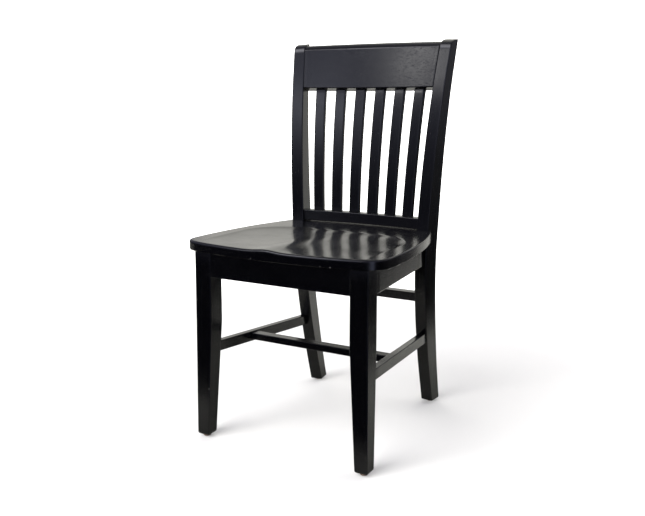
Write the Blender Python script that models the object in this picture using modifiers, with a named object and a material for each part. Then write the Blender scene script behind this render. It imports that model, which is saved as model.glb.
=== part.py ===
"""Slat-back restaurant chair in black lacquered hardwood.

The chair stands on z = 0 with its front towards -Y; left and right are as seen from the front.
Legs, sawn back posts, mortised aprons and stretchers, a scooped seat and a bowed,
fanned back of six bent slats are all separate pieces with a small gap where they touch.
"""

import math

import bmesh
import bpy
import numpy as np
from mathutils import Matrix, Vector

# Fits
GAP = 0.0003
SHOULDER = 0.005
MORTISE_MOUTH = 0.004
EASE = 0.0016

# Front legs: square above the knee, tapered on the two inner faces below it, with a slight kick outwards
LEG_SPREAD = 0.4205
LEG_SIZE = 0.0410
LEG_FOOT = 0.0302
LEG_KNEE = 0.265
LEG_KICK = 0.0020
LEG_EASE = 0.0020

# Back posts: one sawn piece each, turned to the bow of the back and canted outwards
HEIGHT = 0.890
POST_THICK = 0.0305
POST_TURN = math.radians(7.1)
POST_CANT = math.radians(2.6)
POST_SPREAD = 0.3285
POST_EASE = 0.0024
POST_SPARE = 0.012
FLOOR_SAW = (0.18, 0.2)
POST_FRONT = [
    (0.000, 0.4432), (0.131, 0.4058), (0.263, 0.3783), (0.405, 0.3648), (0.475, 0.3669),
    (0.607, 0.3754), (0.748, 0.3938), (0.890, 0.4235),
]
POST_DEPTH = [(0.000, 0.0365), (0.200, 0.0472), (0.384, 0.0511), (0.607, 0.0449), (0.890, 0.0303)]
POST_CROWN = [(0.0060, 0.0062), (0.0120, 0.0097), (0.0195, 0.0119)]
POST_ARRIS_DROP = 0.0131

# Seat
SEAT_TOP = 0.446
SEAT_THICK = 0.022
SEAT_FRONT = -0.0283
SEAT_BOW = 0.514
SEAT_SIDE = [
    (0.2405, 0.040), (0.2411, 0.060), (0.2396, 0.101), (0.2364, 0.152), (0.2313, 0.202),
    (0.2233, 0.253), (0.2118, 0.303), (0.1985, 0.349), (0.1918, 0.3676), (0.1845, 0.3850),
]
SEAT_CORNER = 0.198
SEAT_REAR = 0.4115
SEAT_TAIL = [(0.1795, 0.3960), (0.1760, 0.4060), (0.1710, SEAT_REAR)]
SEAT_HEART = 0.195
SEAT_RINGS = [0.97, 0.93, 0.88, 0.82, 0.75, 0.67, 0.59, 0.51, 0.43, 0.35, 0.27, 0.19, 0.10]
SEAT_ROUND = 0.0032
SEAT_BEVEL = 0.0022
SEAT_STRAIGHT = 0.150
NOTCH_CLEAR = 0.0008
NOTCH_REACH = 0.09
NOTCH_OVERRUN = 0.03
HOLLOW_DEPTH = 0.0058
HOLLOW_REACH = (0.208, 0.175)
LOBE_DEPTH = 0.0042
LOBE_SPOT = (0.088, 0.205)
LOBE_REACH = (0.092, 0.135)
RIDGE_HEIGHT = 0.0030
RIDGE_MIDDLE = 0.105
RIDGE_REACH = (0.026, 0.085)

# Aprons
APRON_THICK = 0.020
SIDE_APRON_THICK = 0.019
FRONT_APRON_BOTTOM = 0.3685
SIDE_APRON_BOTTOM = 0.3646
FRONT_APRON_SETBACK = 0.0008
REAR_APRON_Y = 0.3840
APRON_TENON = 0.0165
SIDE_LINE = 0.2070
SIDE_TAPER = 0.0830

# Stretchers
STRETCHER_TENON = 0.014
SIDE_STRETCHER_THICK = 0.016
SIDE_STRETCHER_TOP = 0.2138
SIDE_STRETCHER_HIGH = 0.0240
SIDE_STRETCHER_FALL = 0.053
CROSS_Y = 0.1649
CROSS_DEEP = 0.0230
CROSS_TOP = 0.2018
CROSS_HIGH = 0.0162
CROSS_TENON = 0.010
CROSS_SHOULDER = 0.0035
REAR_STRETCHER_Y = 0.3924
REAR_STRETCHER_DEEP = 0.0240
REAR_STRETCHER_TOP = 0.2894
REAR_STRETCHER_HIGH = 0.0212

# Crest rail and lower back rail
CREST_TOP = HEIGHT - 0.0050
CREST_ARRIS = CREST_TOP - 0.0112
CREST_BOTTOM = CREST_ARRIS - 0.0945
CREST_THICK = 0.028
CREST_HANG = 0.0025
CREST_OVER = [(0.20, 0.52), (0.42, 0.83), (0.66, 0.97)]
CREST_SETBACK = 0.0045
CREST_BOW = 0.0160
CREST_CROWN = 0.0024
CREST_DIP = 0.0012
CREST_EASE = 0.0026
CREST_EASE_SHARES = [0.7, 0.35, 0, 0, 0, 1.0, 0.5]
RAIL_RISE = 0.0006
RAIL_HIGH = 0.0227
RAIL_THICK = 0.028
RAIL_SETBACK = 0.0075
RAIL_BOW = 0.0110
RAIL_TENON = 0.015

# Slats
SLAT_COUNT = 6
SLAT_WIDE = 0.0240
SLAT_THICK = 0.0148
SLAT_PITCH_LOW = 0.0480
SLAT_PITCH_HIGH = 0.0532
SLAT_INSET_LOW = 0.0064
SLAT_INSET_HIGH = 0.0092
SLAT_TENON = 0.012
SLAT_SHOULDER = 0.003
SLAT_EASE = 0.0018

# Hardware
DOWEL_RADIUS = 0.004
DOWEL_LENGTH = 0.036
DOWEL_HEIGHTS = (CREST_BOTTOM + 0.0267, CREST_BOTTOM + 0.0707)
DOWEL_CHAMFER = (0.0008, 0.0010)
SCREW_HEAD = 0.0040
SCREW_RIM = 0.0004
SCREW_CONE = 0.0027
SCREW_SHANK = 0.0019
SCREW_LENGTH = 0.027
SCREW_POINT = 0.005
SCREW_BITE = 0.011
SCREW_SINK = 0.0006
SCREW_STAGGER = 0.004
RECESS_ARM = 0.0020
RECESS_HALF = 0.00045
RECESS_DEEP = 0.0013
DRILL_RUN = 0.05
DRILL_SPARE = 0.0012

# Corner blocks: reach along the end apron and along the side apron, then where the screws stand
BLOCK_HIGH = 0.0245
BLOCK_LEG_CLEAR = 0.0023
BLOCK_POST_CLEAR = 0.0030
BLOCK_STEP = 0.0010
FRONT_BLOCK_REACH = (0.057, 0.058)
FRONT_BLOCK_SCREWS = (0.029, 0.030)
FRONT_SEAT_SCREW = (0.009, 0.008)
REAR_BLOCK_REACH = (0.056, 0.052)
REAR_BLOCK_SCREWS = (0.030, 0.026)
REAR_SEAT_SCREW = (0.0115, 0.0030)

# Glides
GLIDE_RADIUS = 0.0085
GLIDE_HIGH = 0.0045
GLIDE_ROUND = (0.0016, 0.0004)
GLIDE_LIP = 0.0008
GLIDE_SINK = 0.0042
GLIDE_FLOOR = 0.0020
NAIL_HEAD = 0.0036
NAIL_HEAD_ROUND = 0.0004
NAIL_HEAD_LEVELS = (0.0006, 0.0010, 0.0016, 0.0017)
NAIL_SHANK = 0.0012
NAIL_LENGTH = 0.022
NAIL_POINT = 0.003

UNDERSIDE = SEAT_TOP - SEAT_THICK
APRON_TOP = UNDERSIDE - GAP
RAIL_BOTTOM = SEAT_TOP + RAIL_RISE
RAIL_TOP = RAIL_BOTTOM + RAIL_HIGH
POST_BASE_Y = POST_FRONT[3][1]
SIDES = (("left", -1), ("right", 1))
TAPER_ANGLE = math.atan(SIDE_TAPER)


def start():
    """Empties the file and makes the chair's collection and the one for cutters."""
    for item in list(bpy.data.objects):
        bpy.data.objects.remove(item, do_unlink=True)
    for name in ("restaurant_chair", "cutters"):
        group = bpy.data.collections.new(name)
        bpy.context.scene.collection.children.link(group)
    bpy.data.collections["cutters"].hide_render = True


def finish(name, colour, rough, metal=0.0, coat=0.0):
    """Makes a Principled material."""
    mat = bpy.data.materials.new(name)
    mat.use_nodes = True
    shader = mat.node_tree.nodes["Principled BSDF"]
    shader.inputs["Base Color"].default_value = (*colour, 1.0)
    shader.inputs["Roughness"].default_value = rough
    shader.inputs["Metallic"].default_value = metal
    shader.inputs["Coat Weight"].default_value = coat
    shader.inputs["Coat Roughness"].default_value = 0.15
    mat.diffuse_color = (*colour, 1.0)
    return mat


def black_lacquer(name):
    """Satin black lacquer over wood."""
    return finish(name + "_lacquer", (0.012, 0.012, 0.014), 0.32, coat=0.4)


def bare_beech(name):
    """Unfinished beech for the hidden pieces."""
    return finish(name + "_beech", (0.52, 0.36, 0.21), 0.7)


def zinc_steel(name):
    """Zinc-plated steel."""
    return finish(name + "_zinc", (0.62, 0.62, 0.60), 0.35, metal=1.0)


def nylon(name):
    """Brown nylon."""
    return finish(name + "_nylon", (0.16, 0.085, 0.04), 0.5)


def standing(place):
    """Moves a placement so that the chair's footprint is centred on the origin."""
    return Matrix.Translation((0, -(SEAT_FRONT + foot_reach()) / 2, 0)) @ place


def shape(name, bm, place, mat=None):
    """Turns a bmesh drawn in chair coordinates into an object that stands at place."""
    bmesh.ops.recalc_face_normals(bm, faces=bm.faces[:])
    bm.transform(place.inverted())
    mesh = bpy.data.meshes.new(name)
    bm.to_mesh(mesh)
    bm.free()
    item = bpy.data.objects.new(name, mesh)
    item.matrix_world = standing(place)
    if mat is None:
        bpy.data.collections["cutters"].objects.link(item)
        item.hide_render = True
        item.display_type = "WIRE"
    else:
        bpy.data.collections["restaurant_chair"].objects.link(item)
        mesh.materials.append(mat)
    return item


def loft(rings, eased=(), weights=None):
    """Joins unlike sections into one closed solid; eased segments carry bevel weights."""
    bm = bmesh.new()
    layer = bm.edges.layers.float.new("bevel_weight_edge")
    rows = [[bm.verts.new(point) for point in ring] for ring in rings]
    count = len(rings[0])
    for low, high in zip(rows, rows[1:]):
        for i in range(count):
            j = (i + 1) % count
            bm.faces.new((low[i], low[j], high[j], high[i]))
    bm.faces.new(rows[0])
    bm.faces.new(rows[-1])
    for k in eased:
        for i in range(count):
            edge = bm.edges.get((rows[k][i], rows[k + 1][i]))
            edge[layer] = weights[i] if weights else 1.0
    return bm


def ease(item, width, segments=2, weighted=True):
    """Rounds the marked edges, or every sharp one."""
    mod = item.modifiers.new("ease", "BEVEL")
    mod.width = width
    mod.segments = segments
    mod.limit_method = "WEIGHT" if weighted else "ANGLE"
    mod.angle_limit = math.radians(35)
    mod.use_clamp_overlap = True
    mod.miter_outer = "MITER_SHARP"
    return item


def cut(item, cutter):
    """Takes a cutter away from a piece."""
    mod = item.modifiers.new("cut_" + cutter.name, "BOOLEAN")
    mod.operation = "DIFFERENCE"
    mod.solver = "EXACT"
    mod.object = cutter
    return item


def smooth(item, angle=35):
    """Shades a piece smooth up to an angle."""
    item.data.shade_smooth()
    item.data.set_sharp_from_angle(angle=math.radians(angle))
    return item


def lathe(name, profile, place, mat=None, steps=20, closed=False):
    """Turns a radius and height profile about its z axis with a Screw."""
    mesh = bpy.data.meshes.new(name)
    bm = bmesh.new()
    points = [bm.verts.new((radius, 0, height)) for radius, height in reversed(profile)]
    for a, b in zip(points, points[1:]):
        bm.edges.new((a, b))
    if closed:
        bm.edges.new((points[-1], points[0]))
    bm.to_mesh(mesh)
    bm.free()
    item = bpy.data.objects.new(name, mesh)
    item.matrix_world = standing(place)
    turn = item.modifiers.new("turn", "SCREW")
    turn.steps = steps
    turn.render_steps = steps
    turn.use_merge_vertices = True
    turn.merge_threshold = 0.00002
    turn.use_smooth_shade = True
    if mat is None:
        bpy.data.collections["cutters"].objects.link(item)
        item.hide_render = True
        item.display_type = "WIRE"
    else:
        bpy.data.collections["restaurant_chair"].objects.link(item)
        mesh.materials.append(mat)
    return item


def plate(name, outline, low, high, mat=None):
    """Fills a closed plan outline and extrudes it between two heights."""
    curve = bpy.data.curves.new(name + "_outline", "CURVE")
    curve.dimensions = "2D"
    curve.fill_mode = "BOTH"
    curve.extrude = (high - low) / 2
    spline = curve.splines.new("POLY")
    spline.points.add(len(outline) - 1)
    for point, (x, y) in zip(spline.points, outline):
        point.co = (x, y, 0, 1)
    spline.use_cyclic_u = True
    return curve_solid(name, curve, Matrix.Translation((0, 0, (low + high) / 2)), mat)


def curve_solid(name, curve, drawn, mat, place=None):
    """Makes a filled curve a closed mesh, drawn in chair coordinates."""
    holder = bpy.data.objects.new(name + "_curve", curve)
    bpy.context.scene.collection.objects.link(holder)
    depsgraph = bpy.context.evaluated_depsgraph_get()
    mesh = bpy.data.meshes.new_from_object(holder.evaluated_get(depsgraph))
    bm = bmesh.new()
    bm.from_mesh(mesh)
    bmesh.ops.remove_doubles(bm, verts=bm.verts[:], dist=0.00001)
    bmesh.ops.dissolve_limit(bm, angle_limit=0.0005, verts=bm.verts[:], edges=bm.edges[:])
    bm.transform(drawn)
    bpy.data.objects.remove(holder, do_unlink=True)
    bpy.data.curves.remove(curve)
    bpy.data.meshes.remove(mesh)
    middle = sum((v.co for v in bm.verts), Vector()) / len(bm.verts)
    return shape(name, bm, place or Matrix.Translation(middle), mat)


def through(stations, at):
    """Smooth curve through (position, value) stations."""
    where = np.array([s[0] for s in stations])
    value = np.array([s[1] for s in stations])
    slope = np.gradient(value, where)
    k = int(np.clip(np.searchsorted(where, at) - 1, 0, len(where) - 2))
    span = where[k + 1] - where[k]
    t = (at - where[k]) / span
    if t < 0:
        return float(value[k] + slope[k] * (at - where[k]))
    if t > 1:
        return float(value[k + 1] + slope[k + 1] * (at - where[k + 1]))
    bend = (
        (2 * t**3 - 3 * t**2 + 1) * value[k]
        + (t**3 - 2 * t**2 + t) * span * slope[k]
        + (3 * t**2 - 2 * t**3) * value[k + 1]
        + (t**3 - t**2) * span * slope[k + 1]
    )
    return float(bend)


def post_front(z):
    """Depth of the posts' outer front arris at a height."""
    return through(POST_FRONT, z)


def post_place(side):
    """Turns and cants a post at its foot."""
    return (
        Matrix.Translation((side * POST_SPREAD / 2, POST_BASE_Y, 0))
        @ Matrix.Rotation(-side * POST_TURN, 4, "Z")
        @ Matrix.Rotation(side * POST_CANT, 4, "Y")
    )


def post_face(along):
    """Front face of a post in its own plane, from the height along it."""
    z = along * math.cos(POST_CANT)
    lean = z * math.tan(POST_CANT) * math.sin(POST_TURN)
    return (post_front(z) - POST_BASE_Y + lean) / math.cos(POST_TURN)


def on_post_front(side, x, z, clear=GAP):
    """Depth at which a fore-and-aft line meets the front of a post."""
    inverse = post_place(side).inverted()
    y = post_front(z)
    for _ in range(6):
        local = inverse @ Vector((x, y, z))
        y -= (local.y - post_face(local.z) + clear) / math.cos(POST_TURN)
    return y


def on_post_side(side, point_at):
    """Half-width at which a crosswise line meets the inner face of a post."""
    place = post_place(side)
    normal = place.to_3x3() @ Vector((-side, 0, 0))
    root = place @ Vector((-side * POST_THICK, 0, 0)) + normal * GAP
    x = side * 0.15
    for _ in range(8):
        point = point_at(x)
        x -= normal.dot(point - root) / normal.x
    return x


def foot_reach():
    """How far back the feet of the posts reach."""
    heel = post_face(GLIDE_HIGH) + through(POST_DEPTH, GLIDE_HIGH)
    corner = post_place(1) @ Vector((-POST_THICK, heel, GLIDE_HIGH))
    return corner.y - POST_EASE * math.sin(POST_TURN)


def leg_share(z):
    """How far up a front leg's taper a height is, from 0 at the foot to 1 at the knee and above."""
    return min(max((z - GLIDE_HIGH) / (LEG_KNEE - GLIDE_HIGH), 0), 1)


def leg_back(z):
    """Width of a front leg at a height."""
    return LEG_FOOT + (LEG_SIZE - LEG_FOOT) * leg_share(z)


def leg_outer(z):
    """Half-width to a front leg's outer face at a height."""
    return LEG_SPREAD / 2 + LEG_KICK * (1 - leg_share(z))


def drawn_in(ring, amount):
    """Moves a four-cornered section's corners in by a shoulder, or out when negative."""
    out = []
    for i, point in enumerate(ring):
        ahead = (ring[(i + 1) % 4] - point).normalized()
        behind = (ring[i - 1] - point).normalized()
        out.append(point + (ahead + behind) * amount)
    return out


def tenoned(name, rings, tenon, mat, shoulder=SHOULDER, width=EASE, place=None, ends=None):
    """A bar through four-cornered sections with a tenon on each end, and its two mortise cutters."""
    first = (middle_of(rings[0]) - middle_of(rings[1])).normalized()
    last = (middle_of(rings[-1]) - middle_of(rings[-2])).normalized()
    if ends:
        first, last = ends
    root_a = drawn_in(rings[0], shoulder)
    root_b = drawn_in(rings[-1], shoulder)
    whole = [[p + first * tenon for p in root_a], root_a, *rings, root_b, [p + last * tenon for p in root_b]]
    middle = (middle_of(rings[0]) + middle_of(rings[-1])) / 2
    bm = loft(whole, range(2, len(rings) + 1))
    bar = shape(name, bm, place or Matrix.Translation(middle), mat)
    ease(bar, width)
    smooth(bar)
    cutters = []
    for tag, root, way in (("a", root_a, first), ("b", root_b, last)):
        grown = drawn_in(root, -GAP)
        span = [[p - way * MORTISE_MOUTH for p in grown], [p + way * (tenon + GAP) for p in grown]]
        cutters.append(shape(f"{name}_mortise_{tag}", loft(span), Matrix.Translation(middle_of(grown))))
    return bar, cutters


def middle_of(ring):
    """Centre of a section."""
    return sum(ring, Vector()) / len(ring)


def front_leg(side_name, side):
    """Front leg: two faces tapered below the knee, where the foot also kicks slightly out."""

    def section(z):
        size = leg_back(z)
        outer = side * leg_outer(z)
        inner = outer - side * size
        return [Vector(p) for p in ((outer, 0, z), (outer, size, z), (inner, size, z), (inner, 0, z))]

    rings = [section(z) for z in (GLIDE_HIGH, LEG_KNEE, APRON_TOP)]
    bm = loft(rings, range(2))
    layer = bm.edges.layers.float["bevel_weight_edge"]
    for edge in bm.edges:
        if all(abs(v.co.z - GLIDE_HIGH) < 1e-6 for v in edge.verts):
            edge[layer] = 1.0
    name = f"front_leg_{side_name}"
    leg = shape(name, bm, Matrix.Translation((side * leg_outer(0), 0, GLIDE_HIGH)), black_lacquer(name))
    ease(leg, LEG_EASE)
    return smooth(leg)


def back_post(side_name, side):
    """Back post sawn from one board: its side outline filled and extruded to the board's thickness."""
    slope = math.cos(POST_CANT)
    heights = list(np.linspace(-POST_SPARE, HEIGHT - POST_ARRIS_DROP, 27) / slope)
    front = [(post_face(z), z) for z in heights]
    top_z = heights[-1]
    top_y = post_face(top_z)
    rise = (post_face(top_z) - post_face(top_z - POST_ARRIS_DROP)) / POST_ARRIS_DROP
    crown = [(top_y + dy + rise * dz, top_z + dz) for dy, dz in POST_CROWN]
    deep = through(POST_DEPTH, HEIGHT)
    back_top = (top_y + deep + rise * POST_ARRIS_DROP, HEIGHT / slope)
    back = [(post_face(z) + through(POST_DEPTH, z * slope), z) for z in reversed(heights[:-1])]
    curve = bpy.data.curves.new("post_outline", "CURVE")
    curve.dimensions = "2D"
    curve.fill_mode = "BOTH"
    curve.extrude = POST_THICK / 2
    outline = front + crown + [back_top] + back
    spline = curve.splines.new("POLY")
    spline.points.add(len(outline) - 1)
    for point, (y, z) in zip(spline.points, outline):
        point.co = (y, z, 0, 1)
    spline.use_cyclic_u = True
    upright = Matrix(((0, 0, 1, -side * POST_THICK / 2), (1, 0, 0, 0), (0, 1, 0, 0), (0, 0, 0, 1)))
    place = post_place(side)
    name = f"back_post_{side_name}"
    post = curve_solid(name, curve, place @ upright, black_lacquer(name), place)
    ease(post, POST_EASE, 2, weighted=False)
    spot, size = FLOOR_SAW
    bm = bmesh.new()
    bmesh.ops.create_cube(bm, size=size)
    bmesh.ops.translate(bm, vec=(side * spot, POST_FRONT[0][1], GLIDE_HIGH - size / 2), verts=bm.verts[:])
    cut(post, shape(f"{name}_floor_saw", bm, Matrix.Translation((side * spot, POST_FRONT[0][1], 0))))
    return smooth(post, 30)


def seat_outline():
    """Plan outline of the seat, anticlockwise from the middle of the front edge."""
    front = []
    for x in np.linspace(0, SEAT_CORNER, 10):
        front.append((float(x), SEAT_FRONT + SEAT_BOW * float(x) ** 2))
    start_point = Vector(front[-1])
    start_way = Vector((1, 2 * SEAT_BOW * SEAT_CORNER)).normalized()
    end_point = Vector(SEAT_SIDE[0])
    end_way = Vector((0, 1))
    reach = (end_point - start_point).length * 0.45
    corner = []
    for t in np.linspace(0, 1, 9)[1:-1]:
        a, b = start_point, start_point + start_way * reach
        c, d = end_point - end_way * reach, end_point
        s = 1 - t
        corner.append(tuple(a * s**3 + b * 3 * s * s * t + c * 3 * s * t * t + d * t**3))
    by_depth = [(y, x) for x, y in SEAT_SIDE]
    side = []
    for y in np.linspace(SEAT_SIDE[0][1], SEAT_SIDE[-1][1], 15):
        side.append((through(by_depth, float(y)), float(y)))
    rear = [(float(x), SEAT_REAR) for x in np.linspace(SEAT_STRAIGHT, 0.0, 7)]
    half = front + corner + side + SEAT_TAIL + rear
    return half + [(-x, y) for x, y in half[-2:0:-1]]


def seat_height(x, y):
    """Top of the scooped seat: one broad hollow, a lobe under each thigh and a ridge between them."""
    broad = max(0.0, 1 - (x / HOLLOW_REACH[0]) ** 2 - ((y - SEAT_HEART) / HOLLOW_REACH[1]) ** 2)
    height = SEAT_TOP - HOLLOW_DEPTH * broad**1.5
    for side in (-1, 1):
        off = ((x - side * LOBE_SPOT[0]) / LOBE_REACH[0], (y - LOBE_SPOT[1]) / LOBE_REACH[1])
        lobe = max(0.0, 1 - off[0] ** 2 - off[1] ** 2)
        height -= LOBE_DEPTH * lobe**2
    ridge = math.exp(-((x / RIDGE_REACH[0]) ** 2) - ((y - RIDGE_MIDDLE) / RIDGE_REACH[1]) ** 2)
    return height + RIDGE_HEIGHT * ridge * min(1.0, broad * 2)


def seat():
    """Scooped seat: sections of the outline drawn in towards its middle."""
    outline = [Vector((x, y)) for x, y in seat_outline()]
    count = len(outline)
    normals = []
    for i, point in enumerate(outline):
        way = (outline[(i + 1) % count] - outline[i - 1]).normalized()
        normals.append(Vector((-way.y, way.x)))

    def offset(amount, z):
        return [Vector((*(p + n * amount), z)) for p, n in zip(outline, normals)]

    rings = [offset(SEAT_BEVEL, UNDERSIDE), offset(0, UNDERSIDE + SEAT_BEVEL)]
    for turn in (0, 30, 60, 90):
        angle = math.radians(turn)
        inward = SEAT_ROUND * (1 - math.cos(angle))
        rings.append(offset(inward, SEAT_TOP - SEAT_ROUND * (1 - math.sin(angle))))
    heart = Vector((0, SEAT_HEART))
    edge = [Vector((p.x, p.y)) for p in rings[-1]]
    for share in SEAT_RINGS:
        flat = [heart + (p - heart) * share for p in edge]
        rings.append([Vector((p.x, p.y, seat_height(p.x, p.y))) for p in flat])
    bm = loft(rings)
    middle = Matrix.Translation((0, heart.y, UNDERSIDE))
    return smooth(shape("seat", bm, middle, black_lacquer("seat")), 50)


def notch(side_name, side):
    """Cutter that fits the seat round a post."""
    place = post_place(side)
    low, high = UNDERSIDE - NOTCH_OVERRUN, SEAT_TOP + NOTCH_OVERRUN
    near = post_face((UNDERSIDE + SEAT_TOP) / 2) - NOTCH_CLEAR
    far = near + NOTCH_REACH

    def section(z):
        inner, outer = -side * (POST_THICK + GAP), side * GAP
        corners = ((inner, near, z), (outer, near, z), (outer, far, z), (inner, far, z))
        return [place @ Vector(p) for p in corners]

    return shape(f"seat_notch_{side_name}", loft([section(low), section(high)]), place)


def front_apron():
    """Front apron between the legs."""
    end = LEG_SPREAD / 2 - LEG_SIZE - GAP
    near, far = FRONT_APRON_SETBACK, FRONT_APRON_SETBACK + APRON_THICK
    rings = []
    for x in (-end, end):
        corners = ((near, FRONT_APRON_BOTTOM), (near, APRON_TOP), (far, APRON_TOP), (far, FRONT_APRON_BOTTOM))
        rings.append([Vector((x, y, z)) for y, z in corners])
    return tenoned("front_apron", rings, APRON_TENON, black_lacquer("front_apron"))


def rear_bar(name, near, far, bottom, top, tenon):
    """A level bar between the inner faces of the back posts."""
    ring = []
    for y, z in ((near, bottom), (near, top), (far, top), (far, bottom)):
        ring.append(Vector((on_post_side(1, lambda x, y=y, z=z: Vector((x, y, z))), y, z)))
    mirrored = [Vector((-p.x, p.y, p.z)) for p in ring]
    ends = (Vector((-1, 0, 0)), Vector((1, 0, 0)))
    return tenoned(name, [mirrored, ring], tenon, black_lacquer(name), ends=ends)


def side_bar(name, side, thick, top, high, fall, tenon):
    """A bar from the back of a front leg to the front of a back post."""
    across = thick / math.cos(TAPER_ANGLE)
    near, far = [], []
    for inset, drop in ((0, high), (0, 0), (across, 0), (across, high)):
        y = LEG_SIZE
        for _ in range(6):
            y = leg_back(top - fall * y - drop) + GAP
        near.append(Vector((side * (SIDE_LINE - SIDE_TAPER * y - inset), y, top - fall * y - drop)))
        y = POST_BASE_Y
        for _ in range(6):
            x = side * (SIDE_LINE - SIDE_TAPER * y - inset)
            y = on_post_front(side, x, top - fall * y - drop)
            belly = on_post_front(side, x, top - fall * y - high / 2)
            ends = [on_post_front(side, x, top - fall * y - end) for end in (0, high)]
            y -= max(0.0, sum(ends) / 2 - belly)
        far.append(Vector((x, y, top - fall * y - drop)))
    way = Vector((-side * SIDE_TAPER, 1, -fall)).normalized()
    middle = (middle_of(near) + middle_of(far)) / 2
    place = Matrix.Translation(middle) @ Matrix.Rotation(side * TAPER_ANGLE, 4, "Z")
    return tenoned(name, [near, far], tenon, black_lacquer(name), place=place, ends=(-way, way))


def cross_stretcher():
    """Cross stretcher between the side stretchers."""
    across = SIDE_STRETCHER_THICK / math.cos(TAPER_ANGLE) + GAP
    ring = []
    bottom = CROSS_TOP - CROSS_HIGH
    for y, z in ((0, bottom), (0, CROSS_TOP), (CROSS_DEEP, CROSS_TOP), (CROSS_DEEP, bottom)):
        y += CROSS_Y
        ring.append(Vector((SIDE_LINE - SIDE_TAPER * y - across, y, z)))
    mirrored = [Vector((-p.x, p.y, p.z)) for p in ring]
    ends = (Vector((-1, 0, 0)), Vector((1, 0, 0)))
    name = "cross_stretcher"
    return tenoned(name, [mirrored, ring], CROSS_TENON, black_lacquer(name), CROSS_SHOULDER, ends=ends)


def half_back(z):
    """Half-width between the posts' inner faces at a height."""
    return on_post_side(1, lambda x: Vector((x, post_front(z), z)))


def crest_front(x, z):
    """Depth of the crest rail's bowed front."""
    return post_front(z) + CREST_SETBACK + CREST_BOW * (1 - (x / half_back(CREST_BOTTOM)) ** 2)


def rail_front(x):
    """Depth of the lower rail's bowed front."""
    z = RAIL_BOTTOM + RAIL_HIGH / 2
    return post_front(z) + RAIL_SETBACK + RAIL_BOW * (1 - (x / half_back(z)) ** 2)


def crest_lean():
    """Backward lean of the crest rail."""
    run = post_front(CREST_ARRIS) - post_front(CREST_BOTTOM)
    return math.atan(run / (CREST_ARRIS - CREST_BOTTOM))


def crest_under():
    """Run and fall of the crest rail's underside, whose back edge hangs below square."""
    lean = crest_lean()
    run = CREST_THICK * math.cos(lean) - CREST_HANG * math.sin(lean)
    fall = CREST_THICK * math.sin(lean) + CREST_HANG * math.cos(lean)
    return run, fall


def crest_section(x):
    """Section of the crest rail at a station, from the front's lower edge up and round to the back."""
    lean = crest_lean()
    rise = 1 - (x / half_back(CREST_BOTTOM)) ** 2
    bottom = CREST_BOTTOM - CREST_DIP * rise
    arris = CREST_ARRIS + 0.5 * CREST_CROWN * rise
    top = CREST_TOP + CREST_CROWN * rise
    base = Vector((x, crest_front(x, bottom), bottom))
    upper = Vector((x, crest_front(x, arris), arris))
    through_board = Vector((0, math.cos(lean), -math.sin(lean)))
    up_board = Vector((0, math.sin(lean), math.cos(lean)))
    span = (top - arris) / math.cos(lean) + CREST_THICK * math.tan(lean) * 0.75
    crown = []
    for deep, high in CREST_OVER:
        crown.append(upper + through_board * CREST_THICK * deep + up_board * span * high)
    back_top = upper + through_board * CREST_THICK + up_board * span
    run, fall = crest_under()
    return [base, upper, *crown, back_top, base + Vector((0, run, -fall))]


def crest_rail():
    """Crest rail: bowed, leaning back with the posts and rounded over along its top."""
    count = len(crest_section(0))
    rings = []
    stations = np.linspace(-1, 1, 17)
    limits = [on_post_side(1, lambda x, i=i: crest_section(x)[i]) for i in range(count)]
    for s in stations:
        ring = []
        for i in range(count):
            ring.append(crest_section(float(s) * limits[i])[i])
        rings.append(ring)
    bm = loft(rings, range(len(rings) - 1), CREST_EASE_SHARES)
    place = Matrix.Translation((0, post_front(CREST_BOTTOM), (CREST_BOTTOM + CREST_TOP) / 2))
    crest = shape("crest_rail", bm, place, black_lacquer("crest_rail"))
    ease(crest, CREST_EASE)
    return smooth(crest, 40)


def lower_rail():
    """Lower back rail, bowed like the crest rail and seated in the posts."""
    def section(x, i):
        deep = RAIL_THICK if i in (2, 3) else 0
        return Vector((x, rail_front(x) + deep, RAIL_TOP if i in (1, 2) else RAIL_BOTTOM))

    limits = [on_post_side(1, lambda x, i=i: section(x, i)) for i in range(4)]
    rings = [[section(float(s) * limits[i], i) for i in range(4)] for s in np.linspace(-1, 1, 15)]
    ends = (Vector((-1, 0, 0)), Vector((1, 0, 0)))
    name = "lower_back_rail"
    return tenoned(name, rings, RAIL_TENON, black_lacquer(name), ends=ends)


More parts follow.
